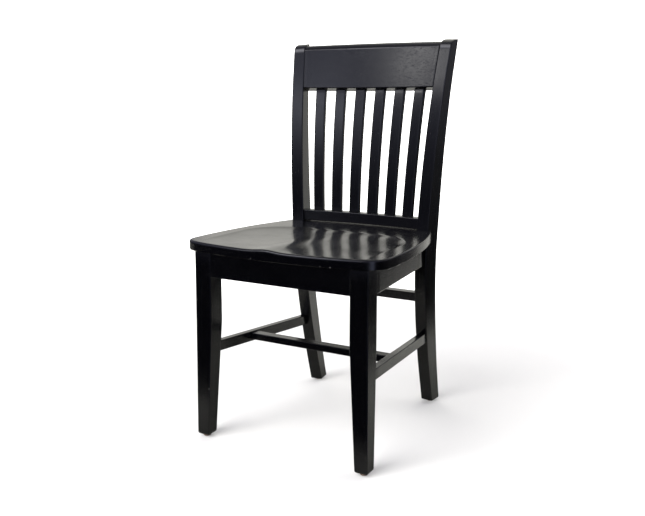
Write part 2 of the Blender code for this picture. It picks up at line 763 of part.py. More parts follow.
def slat(index):
    """Bent slat between the rails, turned to the bow and leaning out with the fan."""
    spot = index - (SLAT_COUNT - 1) / 2
    low, high = RAIL_TOP + GAP, CREST_BOTTOM
    x_low, x_high = spot * SLAT_PITCH_LOW, spot * SLAT_PITCH_HIGH
    y_low = rail_front(x_low) - post_front(RAIL_BOTTOM + RAIL_HIGH / 2) + SLAT_INSET_LOW
    y_high = crest_front(x_high, CREST_BOTTOM) - post_front(CREST_BOTTOM) + SLAT_INSET_HIGH
    turn = math.atan(2 * CREST_BOW * x_high / half_back(CREST_BOTTOM) ** 2)
    corners = ((-1, 0), (-1, 1), (1, 1), (1, 0))
    run, fall = crest_under()

    def corner(z, j):
        t = (z - low) / (high - low)
        across, deep = corners[j][0] * SLAT_WIDE / 2, corners[j][1] * SLAT_THICK
        x = x_low + (x_high - x_low) * t + across * math.cos(turn) + deep * math.sin(turn)
        y = post_front(z) + y_low + (y_high - y_low) * t - across * math.sin(turn) + deep * math.cos(turn)
        return Vector((x, y, z))

    tops = []
    for j in range(4):
        z = high
        for _ in range(8):
            point = corner(z, j)
            section = crest_section(point.x)
            z = section[0].z - (point.y - section[0].y) * fall / run - GAP
        tops.append(z)
    rings = []
    for s in np.linspace(0, 1, 11):
        rings.append([corner(low + (tops[j] - low) * float(s), j) for j in range(4)])
    down = (corner(low - SLAT_TENON, 0) - corner(low, 0)).normalized()
    up = (corner(high + SLAT_TENON, 0) - corner(high, 0)).normalized()
    name = f"slat_{index + 1}"
    mat = black_lacquer(name)
    return tenoned(name, rings, SLAT_TENON, mat, SLAT_SHOULDER, SLAT_EASE, ends=(down, up))


def aim(point, way):
    """Placement with its z axis along a direction."""
    return Matrix.Translation(point) @ way.to_track_quat("Z", "Y").to_matrix().to_4x4()


def dowel(name, point, way):
    """Fluted-end dowel across a joint, and its hole."""
    half, r = DOWEL_LENGTH / 2, DOWEL_RADIUS
    slim, short = r - DOWEL_CHAMFER[0], half - DOWEL_CHAMFER[1]
    profile = [(0, -half), (slim, -half), (r, -short), (r, short), (slim, half), (0, half)]
    hole = [(0, -half - GAP), (r + GAP, -half - GAP), (r + GAP, half + GAP), (0, half + GAP)]
    place = aim(point, way)
    pin = lathe(name, profile, place, bare_beech(name), 12)
    return pin, lathe(name + "_hole", hole, place, None, 12)


def screw(name, point, way):
    """Countersunk wood screw with a cross recess, and the cutter for its holes; point is its head."""
    head, shank, long = SCREW_HEAD, SCREW_SHANK, SCREW_LENGTH
    profile = [(0, 0), (head, 0), (head, SCREW_RIM), (shank, SCREW_CONE)]
    profile += [(shank, long - SCREW_POINT), (0, long)]
    wide, slim = head + SCREW_SINK, shank + GAP
    bore = [
        (0, -DRILL_RUN), (wide, -DRILL_RUN), (wide, 2 * SCREW_RIM), (slim, SCREW_CONE + SCREW_SINK),
        (slim, long - SCREW_POINT + SCREW_RIM), (0, long + DRILL_SPARE),
    ]
    place = aim(point, way)
    item = lathe(name, profile, place, zinc_steel(name), 12)
    arm, half = RECESS_ARM, RECESS_HALF
    cross = [(half, half), (half, arm), (-half, arm), (-half, half), (-arm, half), (-arm, -half)]
    cross += [(-x, -y) for x, y in cross]
    rings = [[Vector((x, y, z)) for x, y in cross] for z in (-arm, RECESS_DEEP)]
    bm = loft(rings)
    bm.transform(place)
    cut(item, shape(name + "_recess", bm, place))
    return item, lathe(name + "_bore", bore, place, None, 12)


def corner_block(name, outline, screws):
    """Glue block screwed to both aprons and up into the seat."""
    block = plate(name, outline, APRON_TOP - BLOCK_HIGH, APRON_TOP, bare_beech(name))
    for _, bore in screws:
        cut(block, bore)
    return block


def blocks(side_name, side, parts):
    """The front and rear corner blocks on one side, with their screws."""
    inner = SIDE_LINE - SIDE_APRON_THICK / math.cos(TAPER_ANGLE) - GAP / math.cos(TAPER_ANGLE)

    def wall(y):
        return inner - SIDE_TAPER * y

    front_face = FRONT_APRON_SETBACK + APRON_THICK + GAP
    rear_face = REAR_APRON_Y - GAP
    leg_in = LEG_SPREAD / 2 - LEG_SIZE - BLOCK_LEG_CLEAR
    leg_behind = LEG_SIZE + BLOCK_LEG_CLEAR
    post_in = half_back(UNDERSIDE) - BLOCK_POST_CLEAR
    post_ahead = POST_BASE_Y + BLOCK_STEP
    front_end = leg_behind + FRONT_BLOCK_REACH[1]
    rear_end = POST_BASE_Y - REAR_BLOCK_REACH[1]
    layouts = {
        "front": (
            [(leg_in - FRONT_BLOCK_REACH[0], front_face), (leg_in, front_face), (leg_in, leg_behind),
             (wall(leg_behind), leg_behind), (wall(front_end), front_end)],
            (leg_in - FRONT_BLOCK_SCREWS[0], front_face, -1), leg_behind + FRONT_BLOCK_SCREWS[1],
            (leg_in - FRONT_SEAT_SCREW[0], leg_behind + FRONT_SEAT_SCREW[1]), "front_apron",
        ),
        "rear": (
            [(post_in - REAR_BLOCK_REACH[0], rear_face), (post_in, rear_face), (post_in, post_ahead),
             (wall(POST_BASE_Y), post_ahead), (wall(rear_end), rear_end)],
            (post_in - REAR_BLOCK_SCREWS[0], rear_face, 1), POST_BASE_Y - REAR_BLOCK_SCREWS[1],
            (post_in - REAR_SEAT_SCREW[0], POST_BASE_Y - REAR_SEAT_SCREW[1]), "rear_apron",
        ),
    }
    level = APRON_TOP - BLOCK_HIGH / 2
    back = SCREW_LENGTH - SCREW_BITE
    for where, (outline, end_spot, side_y, seat_spot, apron) in layouts.items():
        name = f"corner_block_{where}_{side_name}"
        outward = Vector((side * math.cos(TAPER_ANGLE), math.sin(TAPER_ANGLE), 0))
        along = Vector((0, end_spot[2], 0))
        end_point = Vector((side * end_spot[0], end_spot[1], level - SCREW_STAGGER)) - along * back
        side_point = Vector((side * wall(side_y), side_y, level + SCREW_STAGGER)) - outward * back
        seat_point = Vector((side * seat_spot[0], seat_spot[1], UNDERSIDE + SCREW_BITE - SCREW_LENGTH))
        to_end = screw(f"block_screw_{where}_{side_name}_1", end_point, along)
        to_side = screw(f"block_screw_{where}_{side_name}_2", side_point, outward)
        to_seat = screw(f"seat_screw_{where}_{side_name}", seat_point, Vector((0, 0, 1)))
        mirrored = [(side * x, y) for x, y in outline]
        corner_block(name, mirrored, (to_end, to_side, to_seat))
        cut(parts[apron], to_end[1])
        cut(parts[f"side_apron_{side_name}"], to_side[1])
        cut(parts["seat"], to_seat[1])


def glide(tag, point, leg):
    """Nylon glide held by a nail under one foot."""
    place = Matrix.Translation((point[0], point[1], 0))
    r, top = GLIDE_RADIUS, GLIDE_HIGH - GAP
    bore, sink = NAIL_SHANK + GAP, GLIDE_SINK
    wide, slight = GLIDE_ROUND
    profile = [
        (bore, GLIDE_FLOOR), (sink, GLIDE_FLOOR), (sink, 0), (r - wide, 0), (r - slight, slight), (r, wide),
        (r, top - GLIDE_LIP), (r - GLIDE_LIP, top), (bore, top),
    ]
    name = f"glide_{tag}"
    lathe(name, profile, place, nylon(name), 20, closed=True)
    face, rim, back, neck = NAIL_HEAD_LEVELS
    head = [(0, face), (NAIL_HEAD - NAIL_HEAD_ROUND, face), (NAIL_HEAD, rim), (NAIL_HEAD, back)]
    head.append((NAIL_SHANK, neck))
    shaft = [(NAIL_SHANK, NAIL_LENGTH - NAIL_POINT), (0, NAIL_LENGTH)]
    lathe(f"glide_nail_{tag}", head + shaft, place, zinc_steel(f"glide_nail_{tag}"), 12)
    start_at, spare = GLIDE_FLOOR / 2, DRILL_SPARE
    hole = [(0, start_at), (bore, start_at), (bore, NAIL_LENGTH - NAIL_POINT + GAP), (0, NAIL_LENGTH + spare)]
    cut(leg, lathe(f"glide_nail_{tag}_hole", hole, place, None, 12))


def frame_side(side_name, side, parts):
    """One side of the frame: leg, post, side apron and side stretcher."""
    leg = front_leg(side_name, side)
    post = back_post(side_name, side)
    apron, apron_cuts = side_bar(
        f"side_apron_{side_name}", side, SIDE_APRON_THICK, APRON_TOP, APRON_TOP - SIDE_APRON_BOTTOM,
        0, APRON_TENON,
    )
    stretcher, stretcher_cuts = side_bar(
        f"side_stretcher_{side_name}", side, SIDE_STRETCHER_THICK, SIDE_STRETCHER_TOP, SIDE_STRETCHER_HIGH,
        SIDE_STRETCHER_FALL, STRETCHER_TENON,
    )
    for cutters in (apron_cuts, stretcher_cuts):
        cut(leg, cutters[0])
        cut(post, cutters[1])
    parts[f"leg_{side_name}"] = leg
    parts[f"post_{side_name}"] = post
    parts[f"side_apron_{side_name}"] = apron
    parts[f"side_stretcher_{side_name}"] = stretcher


def joined(pair, receivers):
    """Cuts a bar's two mortises, left one first."""
    bar, cutters = pair
    for cutter, receiver in zip(cutters, receivers):
        cut(receiver, cutter)
    return bar


def back_frame(parts):
    """Crest rail, lower rail, slats and the dowels of the crest."""
    posts = (parts["post_left"], parts["post_right"])
    crest = crest_rail()
    rail = joined(lower_rail(), posts)
    for index in range(SLAT_COUNT):
        _, cutters = slat(index)
        cut(rail, cutters[0])
        cut(crest, cutters[1])
    for side_name, side in SIDES:
        way = post_place(side).to_3x3() @ Vector((side, 0, 0))
        for level, z in zip(("lower", "upper"), DOWEL_HEIGHTS):
            lean = crest_lean()
            deep = CREST_THICK / 2

            def heart(x, z=z, lean=lean, deep=deep):
                return Vector((x, crest_front(x, z) + deep * math.cos(lean), z - deep * math.sin(lean)))

            x = on_post_side(side, heart)
            _, hole = dowel(f"crest_dowel_{side_name}_{level}", heart(x), way)
            cut(crest, hole)
            cut(parts[f"post_{side_name}"], hole)


def build():
    """Makes the whole chair."""
    start()
    parts = {}
    for side_name, side in SIDES:
        frame_side(side_name, side, parts)
    legs = (parts["leg_left"], parts["leg_right"])
    posts = (parts["post_left"], parts["post_right"])
    parts["front_apron"] = joined(front_apron(), legs)
    far = REAR_APRON_Y + APRON_THICK
    rear = rear_bar("rear_apron", REAR_APRON_Y, far, SIDE_APRON_BOTTOM, APRON_TOP, APRON_TENON)
    parts["rear_apron"] = joined(rear, posts)
    low = REAR_STRETCHER_TOP - REAR_STRETCHER_HIGH
    far = REAR_STRETCHER_Y + REAR_STRETCHER_DEEP
    joined(rear_bar("rear_stretcher", REAR_STRETCHER_Y, far, low, REAR_STRETCHER_TOP, STRETCHER_TENON), posts)
    joined(cross_stretcher(), (parts["side_stretcher_left"], parts["side_stretcher_right"]))
    back_frame(parts)
    parts["seat"] = seat()
    for side_name, side in SIDES:
        cut(parts["seat"], notch(side_name, side))
        blocks(side_name, side, parts)
        foot = side * (leg_outer(0) - LEG_FOOT / 2)
        glide(f"front_{side_name}", (foot, LEG_FOOT / 2), parts[f"leg_{side_name}"])
        deep = POST_DEPTH[0][1] / 2
        sole = post_place(side) @ Vector((-side * POST_THICK / 2, post_face(GLIDE_HIGH) + deep, GLIDE_HIGH))
        glide(f"rear_{side_name}", (sole.x, sole.y), parts[f"post_{side_name}"])


build()
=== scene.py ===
"""Looks of a black lacquered slat-back restaurant chair.

Each wooden piece is a bar: a cornered section carried along stations, with its arrises rounded over.
The seat is a stack of rings drawn in from its plan outline and dished by a height formula.
Lacquer, bare beech, nylon and zinc are built from shared grain, film and edge groups; the edge group marks
arrises worn through and arrises lightened, partly as worn satin and partly as a painted highlight.
"""

import logging
import math
from collections.abc import Callable
from dataclasses import dataclass, field
from enum import Enum

import bpy
import numpy as np
from mathutils import Matrix, Vector


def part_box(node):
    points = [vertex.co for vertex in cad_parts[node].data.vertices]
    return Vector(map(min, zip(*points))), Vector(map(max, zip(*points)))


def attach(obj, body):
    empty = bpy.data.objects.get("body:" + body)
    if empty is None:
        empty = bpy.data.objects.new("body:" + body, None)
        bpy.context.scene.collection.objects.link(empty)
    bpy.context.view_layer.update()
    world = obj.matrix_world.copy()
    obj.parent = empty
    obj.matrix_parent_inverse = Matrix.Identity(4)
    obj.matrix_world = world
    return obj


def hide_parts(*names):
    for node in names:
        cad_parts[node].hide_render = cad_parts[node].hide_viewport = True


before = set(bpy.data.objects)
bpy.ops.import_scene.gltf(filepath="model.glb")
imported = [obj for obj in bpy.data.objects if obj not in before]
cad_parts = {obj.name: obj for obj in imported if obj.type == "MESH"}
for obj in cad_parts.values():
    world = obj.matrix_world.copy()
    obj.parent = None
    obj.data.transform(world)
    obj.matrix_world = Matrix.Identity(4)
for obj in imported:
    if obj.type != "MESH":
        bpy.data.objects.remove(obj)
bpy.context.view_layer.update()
LOG = logging.getLogger("chair")
Array = np.ndarray


class Slot(Enum):
    """Material slots of the record."""

    LACQUER = "black_lacquered_wood"
    BEECH = "bare_beech"
    NYLON = "brown_nylon"
    ZINC = "zinc_plated_steel"


class GrainSource(Enum):
    """Where a material reads the board's own directions."""

    BOARD = "grain"
    ALONG_Y = "y"
    ALONG_X = "x"


# Shapes


@dataclass(frozen=True)
class Course:
    """A smooth course through stations, each a position and a value."""

    stations: tuple[tuple[float, float], ...]

    def at(self, where: Array | float) -> Array:
        """Value along the course.

        Cubic blend of the two nearest stations and their slopes, straight beyond the ends.

        Args:
            where: positions.

        Returns:
            The values there.
        """
        where = np.asarray(where, float)
        place = np.array([s[0] for s in self.stations])
        value = np.array([s[1] for s in self.stations])
        slope = np.gradient(value, place)
        k = np.clip(np.searchsorted(place, where) - 1, 0, len(place) - 2)
        span = place[k + 1] - place[k]
        t = (where - place[k]) / span
        u = np.clip(t, 0, 1)
        bend = (2 * u**3 - 3 * u**2 + 1) * value[k] + (u**3 - 2 * u**2 + u) * span * slope[k]
        bend = bend + (3 * u**2 - 2 * u**3) * value[k + 1] + (u**3 - u**2) * span * slope[k + 1]
        bend = bend + np.where(t < 0, t * span * slope[k], 0)
        return bend + np.where(t > 1, (t - 1) * span * slope[k + 1], 0)


def unit(v: Array) -> Array:
    """Vectors of length one."""
    return v / np.maximum(np.linalg.norm(v, axis=-1, keepdims=True), 1e-12)


@dataclass(frozen=True)
class Layout:
    """Sizes that more than one piece of the chair depends on."""

    gap: float = 0.0003
    leg_spread: float = 0.4205
    leg_size: float = 0.0410
    leg_foot: float = 0.0302
    leg_knee: float = 0.265
    leg_kick: float = 0.0020
    glide_high: float = 0.0045
    seat_top: float = 0.446
    seat_thick: float = 0.022
    height: float = 0.8899
    post_thick: float = 0.0305
    post_turn: float = math.radians(7.1)
    post_cant: float = math.radians(2.6)
    post_spread: float = 0.3285
    post_base: float = 0.3648
    side_line: float = 0.2070
    side_taper: float = 0.0830
    post_front: Course = Course((
        (0.000, 0.4432), (0.131, 0.4058), (0.263, 0.3783), (0.405, 0.3648), (0.475, 0.3669),
        (0.607, 0.3754), (0.748, 0.3938), (0.890, 0.4235),
    ))
    post_depth: Course = Course(
        ((0.000, 0.0365), (0.200, 0.0472), (0.384, 0.0511), (0.607, 0.0449), (0.890, 0.0303))
    )

    @property
    def underside(self) -> float:
        """Height of the seat's underside."""
        return self.seat_top - self.seat_thick

    def leg_share(self, z: Array) -> Array:
        """How far up a front leg's taper a height is, from 0 at the foot to 1 at the knee and above."""
        return np.clip((z - self.glide_high) / (self.leg_knee - self.glide_high), 0, 1)

    def leg_deep(self, z: Array) -> Array:
        """Width of a front leg at a height: full above the knee, then a straight taper to the foot."""
        return self.leg_foot + (self.leg_size - self.leg_foot) * self.leg_share(z)

    def leg_outer(self, z: Array) -> Array:
        """Half-width to a front leg's outer face, which kicks slightly out towards the foot."""
        return self.leg_spread / 2 + self.leg_kick * (1 - self.leg_share(z))

    def post_axes(self, side: int) -> tuple[Array, Array]:
        """Turned and canted directions of a post, and its foot.

        Args:
            side: -1 for the left post and 1 for the right one.

        Returns:
            The directions as the columns of a matrix, and the foot's place.
        """
        turn, cant = -side * self.post_turn, side * self.post_cant
        cos_t, sin_t, cos_c, sin_c = math.cos(turn), math.sin(turn), math.cos(cant), math.sin(cant)
        about_z = np.array([[cos_t, -sin_t, 0], [sin_t, cos_t, 0], [0, 0, 1]])
        about_y = np.array([[cos_c, 0, sin_c], [0, 1, 0], [-sin_c, 0, cos_c]])
        return about_z @ about_y, np.array([side * self.post_spread / 2, self.post_base, 0.0])

    def post_face(self, along: Array) -> Array:
        """Front face of a post in its own plane, from the distance up the post."""
        z = along * math.cos(self.post_cant)
        lean = z * math.tan(self.post_cant) * math.sin(self.post_turn)
        return (self.post_front.at(z) - self.post_base + lean) / math.cos(self.post_turn)

    def meet_post(self, line: Callable[[Array], Array], start: Array) -> Array:
        """Half-widths at which crosswise lines meet the inner face of the right post.

        Args:
            line: points of the lines at given half-widths.
            start: first guess of the half-widths.

        Returns:
            The half-widths.
        """
        axes, foot = self.post_axes(1)
        normal = axes @ np.array([-1.0, 0, 0])
        root = axes @ np.array([-self.post_thick, 0, 0]) + foot + normal * self.gap
        x = np.array(start, float)
        for _ in range(10):
            x = x - ((line(x) - root) @ normal) / normal[0]
        return x

    def before_post(self, side: int, x: Array, z: Array) -> Array:
        """Depth at which fore-and-aft lines reach the front of a post.

        Args:
            side: -1 for the left post and 1 for the right one.
            x: places of the lines across the chair.
            z: heights of the lines.

        Returns:
            Their depths.
        """
        axes, foot = self.post_axes(side)
        y = self.post_front.at(z)
        for _ in range(8):
            local = (np.stack([x, y, z], -1) - foot) @ axes
            y = y - (local[..., 1] - self.post_face(local[..., 2]) + self.gap) / math.cos(self.post_turn)
        return y


LAYOUT = Layout()
SHIFT = float(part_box("front_leg_left")[0].y)


@dataclass
class Bar:
    """A bar of wood with rounded arrises and ends."""

    name: str
    corners: Array
    radii: Array
    ends: tuple[float, float] = (0.0005, 0.0005)
    steps: int = 4
    hold: float = 0.0009

    def section(self, corners: Array, radii: Array) -> tuple[Array, Array]:
        """Rounds the corners of sections.

        Each corner point is replaced by a quarter curve: corner + r * (to the last corner * (1 - sin t)
        + to the next corner * (1 - cos t)), with a holding point just past each end of it.

        Args:
            corners: stations by corners by 3.
            radii: stations by corners; a corner of radius zero stays one point.

        Returns:
            Points of the sections, and how far each lies round an arris from 0 to 1.
        """
        ahead = unit(np.roll(corners, -1, 1) - corners)
        behind = unit(np.roll(corners, 1, 1) - corners)
        t = np.linspace(0, math.pi / 2, self.steps + 1)
        points, arris = [], []
        for j in range(corners.shape[1]):
            c, a, b = corners[:, j, None], ahead[:, j, None], behind[:, j, None]
            r = radii[:, j, None, None]
            if radii[:, j].max() == 0:
                points.append(c)
                arris.append(np.zeros(1))
                continue
            curve = c + r * (b * (1 - np.sin(t))[None, :, None] + a * (1 - np.cos(t))[None, :, None])
            points += [c + (r + self.hold) * b, curve, c + (r + self.hold) * a]
            arris.append(np.concatenate([[0], 0.25 + 0.75 * np.sin(2 * t), [0]]))
        return np.concatenate(points, 1), np.concatenate(arris)

    def end_rows(self, first: Array, second: Array, radii: Array, radius: float) -> tuple[Array, Array]:
        """Extra stations that round one end over: the section grows to full along a quarter turn.

        Args:
            first: corners of the end station.
            second: corners of the station after it.
            radii: arris radii of the end station.
            radius: radius of the rounding.

        Returns:
            Corners of the extra stations, and their arris radii.
        """
        along = unit(second - first)
        inward = unit(np.roll(first, -1, 0) - first) + unit(np.roll(first, 1, 0) - first)
        t = np.linspace(0, math.pi / 2, 4)[:, None, None]
        rows = first + along * radius * (1 - np.cos(t)) + inward * radius * (1 - np.sin(t))
        cap = first + inward * (radius + self.hold * 0.6)
        small = np.where(radii > 0, np.maximum(radii - radius * (1 - np.sin(t[:, :, 0])), radii * 0.4), 0)
        rows = np.concatenate([cap[None], rows])
        return rows, np.concatenate([small[:1], small])

    def make(self) -> bpy.types.Object:
        """Builds the mesh with its grain and arris attributes.

        Returns:
            The piece, in the chair's frame.
        """
        corners = np.array(self.corners, float)
        radii = np.broadcast_to(np.asarray(self.radii, float), corners.shape[:2])
        low, low_r = self.end_rows(corners[0], corners[1], radii[0], self.ends[0])
        high, high_r = self.end_rows(corners[-1], corners[-2], radii[-1], self.ends[1])
        corners = np.concatenate([low, corners[1:-1], high[::-1]])
        radii = np.concatenate([low_r, radii[1:-1], high_r[::-1]])
        grid, arris = self.section(corners, radii)
        heart = corners.mean(1)
        run = np.concatenate([[0], np.cumsum(np.linalg.norm(np.diff(heart, axis=0), axis=1))])
        across = unit(corners[:, -1] - corners[:, 0])[:, None]
        deep = unit(corners[:, 1] - corners[:, 0])[:, None]
        off = grid - heart[:, None]
        length = np.broadcast_to(run[:, None], off.shape[:2])
        board = np.stack([(off * across).sum(-1), (off * deep).sum(-1), length], -1)
        edge = np.broadcast_to(arris, off.shape[:2]).copy()
        rounded = [1, 2, 3, -4, -3, -2]
        edge[rounded] = np.maximum(edge[rounded], 0.8)
        return surface(self.name, grid, board, edge)


def surface(name: str, grid: Array, board: Array, edge: Array) -> bpy.types.Object:
    """Makes a closed skin from rows of points joined in rings, with a cap on each end.

    Args:
        name: name of the piece.
        grid: rows by points by 3, in the chair's own frame.
        board: the same shape, each point's place in its board, the last number along the grain.
        edge: rows by points, 1 on an arris and 0 on a flat.

    Returns:
        The piece.
    """
    rows, count = grid.shape[:2]
    i, j = np.meshgrid(np.arange(rows - 1), np.arange(count), indexing="ij")
    nxt = (j + 1) % count
    quads = np.stack([i * count + j, i * count + nxt, (i + 1) * count + nxt, (i + 1) * count + j], -1)
    faces = quads.reshape(-1, 4).tolist()
    faces.append(list(range(count))[::-1])
    faces.append([(rows - 1) * count + n for n in range(count)])
    points = grid.reshape(-1, 3) + np.array([0, SHIFT, 0])
    centred = points - points.mean(0)
    a, b, c, d = (centred[quads[..., n].ravel()] for n in range(4))
    volume = np.einsum("ij,ij->i", a, np.cross(b, c)).sum() + np.einsum("ij,ij->i", a, np.cross(c, d)).sum()
    if volume < 0:
        faces = [f[::-1] for f in faces]
    mesh = bpy.data.meshes.new(name)
    mesh.from_pydata(points.tolist(), [], faces)
    grain = mesh.attributes.new("grain", "FLOAT_VECTOR", "POINT")
    grain.data.foreach_set("vector", board.astype(np.float32).ravel())
    arris = mesh.attributes.new("arris", "FLOAT", "POINT")
    arris.data.foreach_set("value", edge.astype(np.float32).ravel())
    mesh.shade_smooth()
    mesh.update()
    piece = bpy.data.objects.new(name, mesh)
    bpy.context.scene.collection.objects.link(piece)
    return piece


def stand_for(piece: bpy.types.Object, node: str, slot: Slot, material: bpy.types.Material) -> None:
    """Puts a finished piece in the place of a node of the frame.

    Args:
        piece: the new piece.
        node: the node that it stands for.
        slot: the record's material slot; not used.
        material: its finish.
    """
    piece.data.materials.clear()
    piece.data.materials.append(material)
    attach(piece, "root")
    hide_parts(node)
    LOG.info("%s stands for %s: %d faces", piece.name, node, len(piece.data.polygons))


# Finishes


class Bench:
    """Adds and links the nodes of one tree."""

    def __init__(self, tree: bpy.types.NodeTree) -> None:
        """Keeps the tree."""
        self.tree = tree

    def add(self, kind: str, sockets: dict | None = None, **props: object) -> bpy.types.Node:
        """Adds a node.

        Args:
            kind: its type.
            sockets: values or output sockets for its inputs, by name or number.
            **props: settings of the node.

        Returns:
            The node.
        """
        node = self.tree.nodes.new(kind)
        for key, value in props.items():
            setattr(node, key, value)
        for key, value in (sockets or {}).items():
            if isinstance(value, bpy.types.NodeSocket):
                self.tree.links.new(value, node.inputs[key])
            else:
                node.inputs[key].default_value = value
        return node

    def math(self, operation: str, *values: object, clamp: bool = False) -> bpy.types.NodeSocket:
        """Adds a sum on plain numbers and gives its result."""
        node = self.add("ShaderNodeMath", dict(enumerate(values)), operation=operation, use_clamp=clamp)
        return node.outputs[0]

    def scaled(self, vector: object, by: tuple[float, float, float]) -> bpy.types.NodeSocket:
        """Multiplies a vector by three numbers."""
        return self.add("ShaderNodeVectorMath", {0: vector, 1: by}, operation="MULTIPLY").outputs[0]

    def link(self, node: bpy.types.Node, sockets: dict[str, bpy.types.NodeSocket]) -> None:
        """Links output sockets to a node's inputs by name."""
        for key, value in sockets.items():
            self.tree.links.new(value, node.inputs[key])

    def plus(self, vector: object, other: object) -> bpy.types.NodeSocket:
        """Adds two vectors."""
        return self.add("ShaderNodeVectorMath", {0: vector, 1: other}, operation="ADD").outputs[0]

    def apart(self, place: object, other: object) -> bpy.types.NodeSocket:
        """Distance between two places."""
        return self.add("ShaderNodeVectorMath", {0: place, 1: other}, operation="DISTANCE").outputs["Value"]

    def along(self, way: object, axis: object) -> bpy.types.NodeSocket:
        """How far a vector reaches along an axis."""
        return self.add("ShaderNodeVectorMath", {0: way, 1: axis}, operation="DOT_PRODUCT").outputs["Value"]

    def noise(
        self, vector: object, detail: float = 2.0, rough: float = 0.5, bend: float = 0.0
    ) -> bpy.types.NodeSocket:
        """Noise of one cell a unit."""
        sockets = {"Vector": vector, "Scale": 1.0, "Detail": detail, "Roughness": rough, "Distortion": bend}
        return self.add("ShaderNodeTexNoise", sockets).outputs["Fac"]

    def span(
        self, value: object, low: float, high: float, to_low: float = 0.0, to_high: float = 1.0
    ) -> bpy.types.NodeSocket:
        """Stretches a value between limits, softly."""
        sockets = {"Value": value, "From Min": low, "From Max": high, "To Min": to_low, "To Max": to_high}
        return self.add("ShaderNodeMapRange", sockets, interpolation_type="SMOOTHSTEP").outputs["Result"]

    def scaled_colour(self, colour: tuple[float, float, float], by: object) -> bpy.types.NodeSocket:
        """A colour times a number."""
        return self.add("ShaderNodeVectorMath", {0: colour, "Scale": by}, operation="SCALE").outputs[0]

    def ramp(self, value: object, stops: list[tuple[float, float]]) -> bpy.types.NodeSocket:
        """Grey by place along a line of (place, level) stops, both from 0 to 1."""
        node = self.add("ShaderNodeValToRGB", {"Fac": value})
        marks = node.color_ramp.elements
        for mark, (place, level) in zip((marks[0], marks[1]), (stops[0], stops[-1])):
            mark.position = place
            mark.color = (level, level, level, 1)
        for place, level in stops[1:-1]:
            mark = marks.new(place)
            mark.color = (level, level, level, 1)
        return node.outputs["Color"]

    def blend(self, share: object, low: object, high: object) -> bpy.types.NodeSocket:
        """Mixes two colours."""
        node = self.add("ShaderNodeMix", {0: share, 6: low, 7: high}, data_type="RGBA")
        return node.outputs[2]


def group(
    name: str, inputs: dict[str, str], outputs: dict[str, str]
) -> tuple[bpy.types.NodeTree, Bench, bpy.types.Node, bpy.types.Node]:
    """Starts a shader group with named sockets.

    Args:
        name: its name.
        inputs: input names and socket types.
        outputs: output names and socket types.

    Returns:
        The tree, a bench on it, and its input and output nodes.
    """
    tree = bpy.data.node_groups.new(name, "ShaderNodeTree")
    for key, kind in inputs.items():
        tree.interface.new_socket(name=key, in_out="INPUT", socket_type=kind)
    for key, kind in outputs.items():
        tree.interface.new_socket(name=key, in_out="OUTPUT", socket_type=kind)
    bench = Bench(tree)
    return tree, bench, bench.add("NodeGroupInput"), bench.add("NodeGroupOutput")


@dataclass
class SharedEffects:
    """The groups that more than one finish uses."""

    grain: bpy.types.NodeTree = field(init=False)
    film: bpy.types.NodeTree = field(init=False)
    wear_and_sheen: bpy.types.NodeTree = field(init=False)

    def __post_init__(self) -> None:
        """Builds the three groups."""
        self.grain = self.make_grain()
        self.film = self.make_film()
        self.wear_and_sheen = self.make_wear_and_sheen()

    def make_grain(self) -> bpy.types.NodeTree:
        """Wood figure, streaks and pores drawn out along the board."""
        outs = {"Figure": "NodeSocketFloat", "Streaks": "NodeSocketFloat", "Pores": "NodeSocketFloat"}
        tree, b, start, end = group("board grain", {"Board": "NodeSocketVector"}, outs)
        board = start.outputs["Board"]
        figure = b.noise(b.scaled(board, (34, 34, 2.6)), 3, 0.55, 0.8)
        streaks = b.noise(b.scaled(board, (520, 520, 8)), 2, 0.6, 0.3)
        pores = b.noise(b.scaled(board, (1500, 1500, 95)), 1, 0.5)
        b.link(end, {
            "Figure": b.span(figure, 0.3, 0.7),
            "Streaks": b.span(streaks, 0.28, 0.72),
            "Pores": b.span(pores, 0.60, 0.70),
        })
        return tree

    def make_film(self) -> bpy.types.NodeTree:
        """Unevenness of a sprayed coat: fine ripple, cloudy gloss from hands and cloths, settled dust."""
        outs = {"Ripple": "NodeSocketFloat", "Clouds": "NodeSocketFloat", "Dust": "NodeSocketFloat"}
        tree, b, start, end = group("coat film", {"Place": "NodeSocketVector"}, outs)
        place = start.outputs["Place"]
        ripple = b.noise(b.scaled(place, (420, 420, 420)), 1, 0.4)
        clouds = b.noise(b.scaled(place, (17, 17, 17)), 4, 0.6, 0.4)
        dust = b.noise(b.scaled(place, (2600, 2600, 2600)), 0, 0.5)
        b.link(end, {
            "Ripple": ripple,
            "Clouds": b.span(clouds, 0.3, 0.72),
            "Dust": b.span(dust, 0.76, 0.84),
        })
        return tree

    def make_wear_and_sheen(self) -> bpy.types.NodeTree:
        """Where an arris is worn through, and where it is lightened, partly as worn satin and partly as a
        painted highlight: its own mark, broken up by noise.
        """
        ins = {"Arris": "NodeSocketFloat", "Place": "NodeSocketVector", "Amount": "NodeSocketFloat"}
        outs = {"Rub and sheen": "NodeSocketFloat", "Bare": "NodeSocketFloat"}
        tree, b, start, end = group("rubbed arris", ins, outs)
        broad = b.noise(b.scaled(start.outputs["Place"], (38, 38, 38)), 3, 0.6)
        fine = b.noise(b.scaled(start.outputs["Place"], (700, 700, 700)), 2, 0.6)
        broken = b.math("ADD", broad, b.math("MULTIPLY", fine, 0.45))
        level = b.math("MULTIPLY", start.outputs["Arris"], broken)
        level = b.math("MULTIPLY", level, start.outputs["Amount"])
        b.link(end, {"Rub and sheen": b.span(level, 0.35, 0.8), "Bare": b.span(level, 0.83, 0.9)})
        return tree


def new_material(name: str) -> tuple[bpy.types.Material, Bench, bpy.types.Node]:
    """Starts a material.

    Args:
        name: its name.

    Returns:
        The material, a bench on its tree, and its shader.
    """
    mat = bpy.data.materials.new(name)
    mat.use_nodes = True
    return mat, Bench(mat.node_tree), mat.node_tree.nodes["Principled BSDF"]


